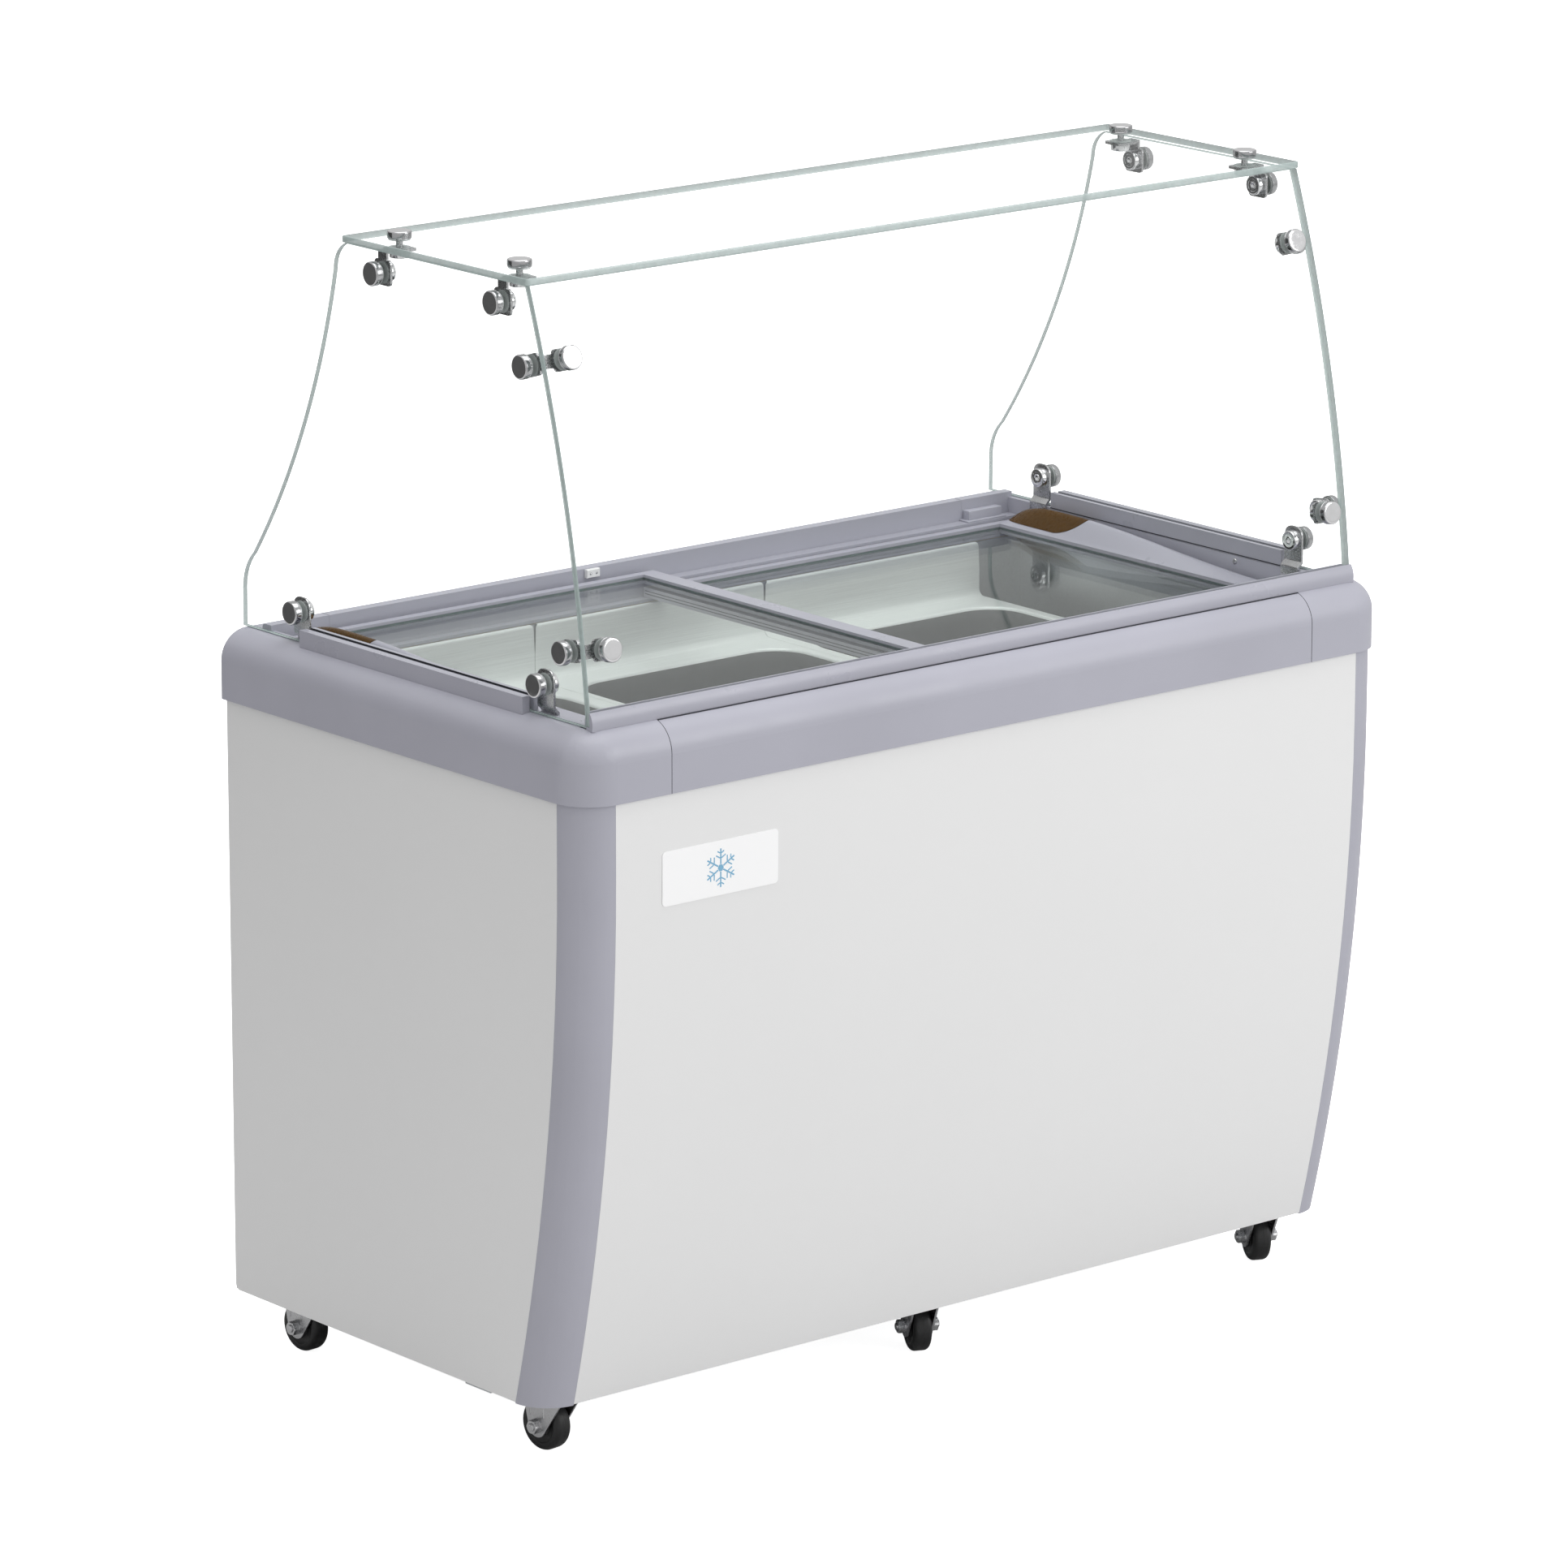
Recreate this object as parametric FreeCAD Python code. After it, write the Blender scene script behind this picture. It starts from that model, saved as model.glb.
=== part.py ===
import FreeCAD, Part
import os
import math

# Glass-top display chest freezer with a glass sneeze guard, on six swivel casters.
# Millimetres. +X along the length (seen from the customer side, to the right),
# +Y to the server side, +Z up. Origin on the floor under the middle of the cabinet.

# ---------------------------------------------------------------- dimensions
BODY_X = 620.0          # half length over the side panels
BODY_Y = 336.7          # half depth over the front and rear panels
BODY_Z0 = 74.5          # underside of the cabinet
BODY_Z1 = 803.5         # top of the sheet panels, underside of the rim
SHEET = 1.0             # sheet steel
FRONT_R = 2620.0        # radius of the tuck-under of the front
FRONT_ZS = 720.0        # height where the front starts to curve back
TRIM_R = 47.0           # corner trim radius
TRIM_T = 2.5            # corner trim wall

RIM_PROUD = 4.0         # rim stands proud of the panels
RIM_X = BODY_X + RIM_PROUD
RIM_Y = BODY_Y + RIM_PROUD
RIM_Z = 886.0           # top of the rim
RIM_RP = 51.0           # plan corner radius
RIM_RT = 37.0           # top edge radius
RIM_REAR = 346.6        # rear face of the rim
RIM_RR = 8.0            # radius around the rear face
RIM_WALL = 4.0
RIM_INX = 574.0         # inner faces of the rim
RIM_INY = 300.3
RIM_SEAM = 495.0        # seams between the end and middle pieces
LIP_Y1 = 318.0          # raised lip along the rear
LIP_Z = 893.0
LIP_X = 580.0

LINER_X = 565.0         # tank, inside
LINER_Y = 266.0
LINER_Z1 = 845.5
LINER_ZB = 150.0        # tank floor
LINER_STEP_X = 250.0    # step over the machine compartment
LINER_STEP_Z = 480.0
LINER_GAP = 11.0        # room around the tank for the evaporator tube
MACH_X0 = 305.0         # machine compartment
MACH_Z1 = 430.0

LID_LEN_END = 568.0     # outer end of each lid
LID_MEET0 = 11.0        # meeting stiles
LID_MEET1 = 35.0
UP_Z0, UP_Z1 = 867.0, 878.5      # upper (left) lid
LO_Z0, LO_Z1 = 851.0, 863.0      # lower (right) lid
UP_Y, LO_Y = 291.0, 279.5
RAIL_W = 12.0
END_W = 37.0
LID_GLASS = 4.0

TR_UP_Z = 866.6         # top of the upper ledge
TR_LO_Z = 850.6         # top of the lower ledge
TR_UP_Y = 281.0
TR_LO_Y = 268.0
TR_Z0 = 846.8

GL = 6.0                # guard glass thickness
EG_X = 587.3            # outer face of an end glass
TOP_Z0, TOP_Z1 = 1375.0, 1383.0
TOP_X = 590.6
TOP_Y0, TOP_Y1 = -203.0, 140.0
FG_X = 587.0

KNOB_R = 14.25
KNOB_T = 9.0
WASH_R = 13.0
WASH_OUT = 2.0
WASH_IN = 1.5
PLATE = 3.0
PAD = 15.0              # half side of a clamp pad
NUT_R = 12.0
NUT_T = 8.0
STUD_R = 4.0

WHEEL_R = 31.0
WHEEL_W = 24.0
TRAIL = 16.0

V = FreeCAD.Vector
os.makedirs("parts", exist_ok=True)


# ---------------------------------------------------------------- helpers
def box(x0, y0, z0, x1, y1, z1):
    return Part.makeBox(x1 - x0, y1 - y0, z1 - z0, V(x0, y0, z0))


def cyl(r, p, axis, length):
    return Part.makeCylinder(r, length, V(*p), V(*axis))


def seg(a, b):
    return Part.LineSegment(a, b).toShape()


def arc(a, m, b):
    return Part.Arc(a, m, b).toShape()


def prism(edges, direction):
    return Part.Face(Part.Wire(edges)).extrude(direction)


def poly(points, direction):
    pts = [V(*p) for p in points]
    return Part.Face(Part.makePolygon(pts + [pts[0]])).extrude(direction)


def yz_poly(points, x0, x1):
    return poly([(x0, y, z) for y, z in points], V(x1 - x0, 0, 0))


def xz_poly(points, y0, y1):
    return poly([(x, y0, z) for x, z in points], V(0, y1 - y0, 0))


def mirror_x(shape):
    return shape.mirror(V(0, 0, 0), V(1, 0, 0))


def rounded_box(x0, y0, z0, x1, y1, z1, r):
    """Box with its four vertical edges rounded."""
    s = box(x0, y0, z0, x1, y1, z1)
    es = [e for e in s.Edges if abs(e.Vertexes[0].Z - e.Vertexes[1].Z) > 1e-6]
    return s.makeFillet(r, es)


def fuse(shapes):
    s = shapes[0]
    if len(shapes) > 1:
        s = s.multiFuse(shapes[1:])
    return s.removeSplitter()


def hexagon(af, p, axis, length):
    """Hexagonal prism across flats af along axis."""
    r = af / math.sqrt(3.0)
    pts = [V(r * math.cos(math.radians(60 * i + 30)), r * math.sin(math.radians(60 * i + 30)), 0) for i in range(6)]
    s = Part.Face(Part.makePolygon(pts + [pts[0]])).extrude(V(0, 0, length))
    s.Placement = FreeCAD.Placement(V(*p), FreeCAD.Rotation(V(0, 0, 1), V(*axis)))
    return s


made = []


def save(name, solids):
    out = []
    for s in solids:
        out.extend(s.Solids)
    for s in out:
        if not s.isValid() or s.Volume <= 0:
            print("BAD SOLID", name, s.isValid(), s.Volume)
    shape = out[0] if len(out) == 1 else Part.makeCompound(out)
    shape.exportStep("parts/" + name + ".step")
    made.append((name, len(out), shape.Volume))


# ---------------------------------------------------------------- cabinet shell
YC = -BODY_Y + FRONT_R   # centre of the tuck-under arc


def front_edges(x, off, ztop, zbot):
    """Front outline at plane x, set in by off: straight part, then the arc down to zbot."""
    y0 = -BODY_Y + off
    r = FRONT_R - off
    h = FRONT_ZS - zbot
    yb = YC - math.sqrt(r * r - h * h)
    am = math.asin(h / r) / 2
    mid = V(x, YC - r * math.cos(am), FRONT_ZS - r * math.sin(am))
    return [seg(V(x, y0, ztop), V(x, y0, FRONT_ZS)), arc(V(x, y0, FRONT_ZS), mid, V(x, yb, zbot))], V(x, y0, ztop), V(x, yb, zbot)


def front_block(x0, x1, off, yback, zbot, ztop):
    """Solid from the front outline (set in by off) back to yback."""
    es, a, b = front_edges(x0, off, ztop, zbot)
    c, d = V(x0, yback, zbot), V(x0, yback, ztop)
    return prism(es + [seg(b, c), seg(c, d), seg(d, a)], V(x1 - x0, 0, 0))


def front_sheet(x0, x1, off0, off1):
    return front_block(x0, x1, off0, 0, BODY_Z0, BODY_Z1).cut(front_block(x0 - 1, x1 + 1, off1, 1, BODY_Z0 - 5, BODY_Z1 + 5))


def side_panel():
    x0 = -BODY_X
    es, a, b = front_edges(x0, TRIM_R + 0.2, BODY_Z1, BODY_Z0)
    r = 8.0
    c, d = V(x0, BODY_Y - r, BODY_Z0), V(x0, BODY_Y, BODY_Z0 + r)
    k = r * (1 - math.sqrt(0.5))
    m = V(x0, BODY_Y - k, BODY_Z0 + k)
    e = V(x0, BODY_Y, BODY_Z1)
    return prism(es + [seg(b, c), arc(c, m, d), seg(d, e), seg(e, a)], V(SHEET, 0, 0))


side_left = side_panel()
save("side_panel_left", [side_left])
save("side_panel_right", [mirror_x(side_left)])

save("front_panel", [front_sheet(-BODY_X + TRIM_R + 0.2, BODY_X - TRIM_R - 0.2, 0.0, SHEET)])


def corner_trim():
    """Quarter-round corner strip that follows the front outline."""
    cx, cy = -BODY_X + TRIM_R, -BODY_Y + TRIM_R
    ro, ri = TRIM_R, TRIM_R - TRIM_T
    q = math.sqrt(0.5)

    def ring(z):
        return [
            arc(V(cx - ro, cy, z), V(cx - ro * q, cy - ro * q, z), V(cx, cy - ro, z)),
            seg(V(cx, cy - ro, z), V(cx, cy - ri, z)),
            arc(V(cx, cy - ri, z), V(cx - ri * q, cy - ri * q, z), V(cx - ri, cy, z)),
            seg(V(cx - ri, cy, z), V(cx - ro, cy, z)),
        ]

    upper = prism(ring(FRONT_ZS), V(0, 0, BODY_Z1 - FRONT_ZS))
    lower = Part.Face(Part.Wire(ring(FRONT_ZS))).revolve(V(0, YC, FRONT_ZS), V(1, 0, 0), 16.0)
    lower = lower.cut(box(-700, -400, -200, -500, 0, BODY_Z0 - 1.5))
    s = fuse([upper, lower])
    return s


trim_left = corner_trim()
save("corner_trim_left", [trim_left])
save("corner_trim_right", [mirror_x(trim_left)])

# rear panel with the window over the machine compartment
GR_X0, GR_X1, GR_Z0, GR_Z1 = 318.0, 600.0, 104.0, 410.0
rear = box(-BODY_X + SHEET + 0.2, BODY_Y - SHEET, BODY_Z0 + 0.5, BODY_X - SHEET - 0.2, BODY_Y, BODY_Z1)
rear = rear.cut(box(GR_X0, BODY_Y - 5, GR_Z0, GR_X1, BODY_Y + 5, GR_Z1))
save("rear_panel", [rear])

# base pan: floor of the cabinet, with two short skid tabs under its long sides
BASE_T = 1.5
base_y0 = -252.0
base = box(-BODY_X + 5, base_y0, BODY_Z0, BODY_X - 5, BODY_Y - 3, BODY_Z0 + BASE_T)
es = [e for e in base.Edges if abs(e.Vertexes[0].Z - e.Vertexes[1].Z) > 1e-6 and e.Vertexes[0].Y < 0]
base = base.makeFillet(42.0, es)
tabs = [box(s * 600 - 3, -139, BODY_Z0 - 8.5, s * 600 + 3, -90, BODY_Z0 + 0.5) for s in (-1, 1)]
base = fuse([base] + tabs)
save("base_pan", [base])

# ---------------------------------------------------------------- tank and insulation


def tank_profile(off, ztop, zbot):
    """Tank outline in Y, Z, grown by off; the front wall leans back towards the floor."""
    fy_top, fy_bot = -LINER_Y - off, -200.0 - off
    return [(fy_top, ztop), (fy_top, 600.0), (fy_bot, zbot), (LINER_Y + off, zbot), (LINER_Y + off, ztop)]


def tank(off, ztop):
    low = yz_poly(tank_profile(off, ztop, LINER_ZB - off), -LINER_X - off, LINER_STEP_X + off)
    # the raised part: same front wall, cut off at the step
    high = yz_poly(tank_profile(off, ztop, LINER_ZB - off), LINER_STEP_X, LINER_X + off).common(
        box(LINER_STEP_X, -400, LINER_STEP_Z - off, LINER_X + off, 400, ztop)
    )
    return fuse([low, high])


liner = tank(1.0, LINER_Z1).cut(tank(0.0, LINER_Z1 + 5))
save("inner_liner", [liner])

foam_low = front_block(-BODY_X + 4, BODY_X - 4, 4.0, BODY_Y - 3.0, BODY_Z0 + 3.0, BODY_Z1 - 0.5)
es = [
    e
    for e in foam_low.Edges
    if abs(abs(e.CenterOfMass.x) - (BODY_X - 4)) < 0.01
    and e.CenterOfMass.y < -200
    and e.BoundBox.ZLength > 50
]
foam_low = foam_low.makeFillet(TRIM_R - 4.0 + 0.0, es)
foam_high = box(-RIM_INX + 1.5, -RIM_INY + 1.5, BODY_Z1 - 0.5, RIM_INX - 1.5, RIM_INY - 1.5, LINER_Z1)
foam = fuse([foam_low, foam_high])
foam = foam.cut(tank(LINER_GAP, LINER_Z1 + 20))
foam = foam.cut(box(MACH_X0, -400, 0, 700, 400, MACH_Z1))
save("insulation", [foam])

# evaporator: one serpentine tube against the back of the tank
EV_R = 4.0
ev_y = LINER_Y + 1.0 + EV_R + 0.5
ev = []
rows = [700.0 - 50.0 * i for i in range(9)]
xa, xb = -520.0, 200.0
for i, z in enumerate(rows):
    ev.append(cyl(EV_R, (xa, ev_y, z), (1, 0, 0), xb - xa))
for i in range(len(rows) - 1):
    zc = (rows[i] + rows[i + 1]) / 2
    x = xb if i % 2 == 0 else xa
    ring = Part.Face(Part.Wire(Part.makeCircle(EV_R, V(x, ev_y, rows[i]), V(1, 0, 0))))
    ang = 180 if i % 2 == 0 else -180
    ev.append(ring.revolve(V(x, ev_y, zc), V(0, 1, 0), ang))
save("evaporator_coil", [fuse(ev)])

# ---------------------------------------------------------------- rim


def ring_block(inset, ztop):
    """The rim's outer form, set in by inset: wide front corners and top edge, tight rear ones."""
    y1 = BODY_Y if inset else RIM_REAR
    s = box(-RIM_X + inset, -RIM_Y + inset, BODY_Z1, RIM_X - inset, y1, ztop)
    s = s.makeFillet(RIM_RP - inset, [e for e in s.Edges if e.BoundBox.ZLength > 5 and e.CenterOfMass.y < 0])
    top = [
        e for e in s.Edges
        if abs(e.BoundBox.ZMin - ztop) < 1e-4 and abs(e.BoundBox.ZMax - ztop) < 1e-4 and e.CenterOfMass.y < y1 - 1e-3
    ]
    s = s.makeFillet(RIM_RT - inset, top)
    back = [e for e in s.Edges if abs(e.BoundBox.YMin - y1) < 1e-3 and e.BoundBox.ZMax > BODY_Z1 + 1]
    return s.makeFillet(RIM_RR - inset, back)


CH_OUT = 598.0          # end glass channels
CH_IN = 575.0
CH_Y0, CH_Y1 = -200.0, 221.0
CH_Z0, CH_Z1 = 884.0, 905.0
FCH_Y = -314.0          # front glass channel
FCH_X = 588.0

rim = ring_block(0.0, RIM_Z)
lip = box(-LIP_X, RIM_INY, 878.0, LIP_X, LIP_Y1, LIP_Z)
lip = lip.makeFillet(5.0, [e for e in lip.Edges if abs(e.CenterOfMass.z - LIP_Z) < 1e-6 and abs(e.CenterOfMass.y - LIP_Y1) < 1e-6])
rim = rim.fuse(lip)
hollow = ring_block(RIM_WALL, RIM_Z - RIM_WALL).cut(
    box(-RIM_INX - 3, -RIM_INY - 3, 700, RIM_INX + 3, RIM_INY + 3, 900)
)
rim = rim.cut(hollow).cut(box(-RIM_INX, -RIM_INY, 700, RIM_INX, RIM_INY, 1000))
# seats for the glass channels
rim = rim.cut(box(-FCH_X - 0.3, FCH_Y - 0.3, CH_Z0, FCH_X + 0.3, -290, 900))
for s in (-1, 1):
    x0, x1 = sorted((s * (CH_OUT + 0.3), s * 570))
    rim = rim.cut(box(x0, CH_Y0 - 0.3, CH_Z0, x1, CH_Y1 + 0.3, 900))
rim = rim.removeSplitter()
g = 0.15
save("rim_end_left", [rim.common(box(-700, -400, 700, -RIM_SEAM - g, 400, 1000))])
save("rim_end_right", [rim.common(box(RIM_SEAM + g, -400, 700, 700, 400, 1000))])
save("rim_front_strip", [rim.common(box(-RIM_SEAM + g, -400, 700, RIM_SEAM - g, 0, 1000))])
save("rim_rear_strip", [rim.common(box(-RIM_SEAM + g, 0, 700, RIM_SEAM - g, 400, 1000))])

# lid track frame: stepped long rails and plain end rails
TX = RIM_INX - 0.2
TY = RIM_INY - 0.2
rail_pts = [
    (TR_LO_Y, TR_Z0), (TR_LO_Y, TR_LO_Z), (TR_UP_Y, TR_LO_Z), (TR_UP_Y, TR_UP_Z), (TY, TR_UP_Z), (TY, TR_Z0),
]
rear_rail = yz_poly(rail_pts, -TX, TX)
front_rail = yz_poly([(-y, z) for y, z in rail_pts], -TX, TX)
end_pts = [(555.0, TR_Z0), (555.0, TR_LO_Z), (571.0, TR_LO_Z), (571.0, 858.0), (TX, 858.0), (TX, TR_Z0)]
end_r = xz_poly(end_pts, -TR_LO_Y + 0.2, TR_LO_Y - 0.2)
save("lid_track_frame", [rear_rail, front_rail, end_r, mirror_x(end_r)])

# ---------------------------------------------------------------- pans in the tank


def yz_section_sheet(x0, x1):
    """Bent sheet: flange, wall, shelf, wall, flange."""
    y = 262.0
    r = 9.0
    zs = 778.0
    zt = LINER_Z1

    def outline(o):
        # o = 0 inner face (seen from above), o = 1 outer face
        yo, zo, ro = y + o - 1.0, zs - o, r + o
        k = ro * (1 - math.sqrt(0.5))
        return yo, zo, ro, k

    yi, zi, ri, ki = outline(0)
    yo, zo, ro, ko = outline(1)
    ztop = zt + 1.0
    f = 5.0
    P = lambda a, b: V(x0, a, b)
    es = [
        seg(P(-yi, ztop), P(-yi, zi + ri)),
        arc(P(-yi, zi + ri), P(-yi + ki, zi + ki), P(-yi + ri, zi)),
        seg(P(-yi + ri, zi), P(yi - ri, zi)),
        arc(P(yi - ri, zi), P(yi - ki, zi + ki), P(yi, zi + ri)),
        seg(P(yi, zi + ri), P(yi, ztop)),
        seg(P(yi, ztop), P(yo + f, ztop)),
        seg(P(yo + f, ztop), P(yo + f, zt)),
        seg(P(yo + f, zt), P(yo, zt)),
        seg(P(yo, zt), P(yo, zo + ro)),
        arc(P(yo, zo + ro), P(yo - ko, zo + ko), P(yo - ro, zo)),
        seg(P(yo - ro, zo), P(-yo + ro, zo)),
        arc(P(-yo + ro, zo), P(-yo + ko, zo + ko), P(-yo, zo + ro)),
        seg(P(-yo, zo + ro), P(-yo, zt)),
        seg(P(-yo, zt), P(-yo - f, zt)),
        seg(P(-yo - f, zt), P(-yo - f, ztop)),
        seg(P(-yo - f, ztop), P(-yi, ztop)),
    ]
    return prism(es, V(x1 - x0, 0, 0))


WELL_Y = 215.0
WELL_R = 50.0
WELL_ZB = 600.0


def pan(x0, x1, w0, w1):
    sheet = yz_section_sheet(x0, x1)
    outer = rounded_box(w0 - 1, -WELL_Y - 1, WELL_ZB - 1, w1 + 1, WELL_Y + 1, 777.5, WELL_R + 1)
    bot = [e for e in outer.Edges if abs(e.BoundBox.ZMin - WELL_ZB + 1) < 1e-4 and abs(e.BoundBox.ZMax - WELL_ZB + 1) < 1e-4]
    outer = outer.makeFillet(21.0, bot)
    inner = rounded_box(w0, -WELL_Y, WELL_ZB, w1, WELL_Y, 790.0, WELL_R)
    bot = [e for e in inner.Edges if abs(e.BoundBox.ZMin - WELL_ZB) < 1e-4 and abs(e.BoundBox.ZMax - WELL_ZB) < 1e-4]
    inner = inner.makeFillet(20.0, bot)
    return fuse([sheet, outer]).cut(inner)


PANS = {
    "pan_left": (-562.0, -217.2, -545.0, -240.0),
    "pan_middle": (-216.8, 141.8, -207.0 + 4, 129.0),
    "pan_right": (142.2, 493.0, 161.0, 478.0),
}
for name, (a, b, c, d) in PANS.items():
    save(name, [pan(a, b, c, d)])

# ---------------------------------------------------------------- sneeze guard glass
# front glass: outer face is an arc in the Y, Z plane
FG_A = (-309.0, 889.0)
FG_B = (-203.3, 1374.6)
dy, dz = FG_B[0] - FG_A[0], FG_B[1] - FG_A[1]
chord = math.hypot(dy, dz)
FG_R = 2020.0
sag = FG_R - math.sqrt(FG_R**2 - chord**2 / 4)
ny, nz = -dz / chord, dy / chord
FG_M = ((FG_A[0] + FG_B[0]) / 2 + ny * sag, (FG_A[1] + FG_B[1]) / 2 + nz * sag)
FG_C = (FG_M[0] - ny * FG_R, FG_M[1] - nz * FG_R)   # centre of the arc


def fg_point(z, off):
    """Point of the front glass's face set in by off, at height z."""
    r = FG_R - off
    h = z - FG_C[1]
    return FG_C[0] - math.sqrt(r * r - h * h)


def fg_arc(x, off, z0, z1):
    zm = (z0 + z1) / 2
    return arc(V(x, fg_point(z0, off), z0), V(x, fg_point(zm, off), zm), V(x, fg_point(z1, off), z1))


def fg_normal(z):
    """Outward normal of the front glass at height z (Y, Z)."""
    y = fg_point(z, 0)
    return ((y - FG_C[0]) / FG_R, (z - FG_C[1]) / FG_R)


def front_glass_solid(x0, x1, o0, o1, z0, z1):
    a, b = fg_arc(x0, o0, z0, z1), fg_arc(x0, o1, z0, z1)
    pa0, pa1 = V(x0, fg_point(z0, o0), z0), V(x0, fg_point(z1, o0), z1)
    pb0, pb1 = V(x0, fg_point(z0, o1), z0), V(x0, fg_point(z1, o1), z1)
    return prism([a, seg(pa1, pb1), b, seg(pb0, pa0)], V(x1 - x0, 0, 0))


front_glass = front_glass_solid(-FG_X, FG_X, 0.0, GL, FG_A[1], FG_B[1])

# end glass outline in Y, Z
EG_Z0 = 886.3
EG_ZT = 1374.6


def end_glass_solid(x0):
    off = GL + 0.5
    P = lambda a, b: V(x0, a, b)
    a = P(fg_point(EG_Z0, off), EG_Z0)
    b = P(fg_point(EG_ZT, off), EG_ZT)
    es = [
        fg_arc(x0, off, EG_Z0, EG_ZT),
        seg(b, P(137.0, EG_ZT)),
        arc(P(137.0, EG_ZT), P(152.5, 1363.5), P(160.5, 1341.2)),
        arc(P(160.5, 1341.2), P(226.7, 1144.5), P(325.0, 978.1)),
        arc(P(325.0, 978.1), P(341.0, 956.5), P(346.4, 933.0)),
        seg(P(346.4, 933.0), P(346.5, EG_Z0)),
        seg(P(346.5, EG_Z0), a),
    ]
    return prism(es, V(GL, 0, 0))


end_left = end_glass_solid(-EG_X)
top_glass = box(-TOP_X, TOP_Y0, TOP_Z0, TOP_X, TOP_Y1, TOP_Z1)
top_glass = top_glass.makeFillet(3.0, [e for e in top_glass.Edges if e.BoundBox.ZLength > 5])

# ---------------------------------------------------------------- guard clamps
knobs, washers, nuts = [], [], []
HOLE_R = 5.5


def clamp(p, n, glass_t, pad_u):
    """One clamp at p on the outer face of a glass, n its outward normal.
    Returns the pad's solid and the hole to cut in the glass."""
    p, n = V(*p), V(*n)
    n.normalize()

    def at(d):
        return p + n * d

    def disc(r, d0, d1):
        return Part.makeCylinder(r, d1 - d0, at(d0), n)

    hole = disc(HOLE_R, -glass_t - 1, 1)
    # outer washer and knob with its stud
    washers.append(disc(WASH_R, 0.0, WASH_OUT).cut(disc(STUD_R + 0.3, -1, 4)))
    k = disc(KNOB_R, WASH_OUT, WASH_OUT + KNOB_T)
    rim_edges = [e for e in k.Edges if isinstance(e.Curve, Part.Circle)]
    k = k.makeChamfer(0.9, rim_edges)
    plate0 = -glass_t - WASH_IN
    plate1 = plate0 - PLATE
    stud = disc(STUD_R, plate1 - 5.0, WASH_OUT + 1.0)
    knobs.append(fuse([k, stud]))
    # inner washer and nut
    washers.append(disc(WASH_R, plate0, -glass_t - 0.06).cut(disc(STUD_R + 0.3, plate0 - 1, 0)))
    nut = disc(NUT_R, plate1 - NUT_T, plate1)
    nut = nut.makeChamfer(0.7, [e for e in nut.Edges if isinstance(e.Curve, Part.Circle)])
    nut = nut.cut(disc(STUD_R + 0.05, plate1 - 5.2, plate1 + 1))
    sock = at(plate1 - NUT_T + 2.4)
    m = n * -1.0
    nut = nut.cut(hexagon(6.0, (sock.x, sock.y, sock.z), (m.x, m.y, m.z), 5.0))
    nuts.append(nut)
    return hole, disc(STUD_R + 0.4, plate1 - 1, plate0 + 1), plate0, plate1


def local_box(origin, ex, ey, ez, lo, hi):
    """Box in a local frame; ex, ey, ez right-handed unit vectors."""
    s = Part.makeBox(hi[0] - lo[0], hi[1] - lo[1], hi[2] - lo[2], V(*lo))
    m = FreeCAD.Matrix(
        ex.x, ey.x, ez.x, origin.x,
        ex.y, ey.y, ez.y, origin.y,
        ex.z, ey.z, ez.z, origin.z,
        0, 0, 0, 1,
    )
    s.Placement = FreeCAD.Placement(m)
    return s


def rounded_pad(origin, ex, ey, ez, cx, cy, half, z0, z1, r=5.0):
    s = Part.makeBox(2 * half, 2 * half, z1 - z0, V(cx - half, cy - half, z0))
    s = s.makeFillet(r, [e for e in s.Edges if e.BoundBox.ZLength > 0.5 * (z1 - z0) and e.BoundBox.XLength < 1e-6 and e.BoundBox.YLength < 1e-6])
    m = FreeCAD.Matrix(
        ex.x, ey.x, ez.x, origin.x,
        ex.y, ey.y, ez.y, origin.y,
        ex.z, ey.z, ez.z, origin.z,
        0, 0, 0, 1,
    )
    s.Placement = FreeCAD.Placement(m)
    return s


end_holes_l, top_holes, front_holes = [], [], []
top_brackets, corner_brackets, posts = [], [], []
NECK = 8.0   # half width of the neck between two pads
XIN = EG_X - GL - WASH_IN      # outer side of a plate held on the inside of an end glass (|x|)
post_screws = []

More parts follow.
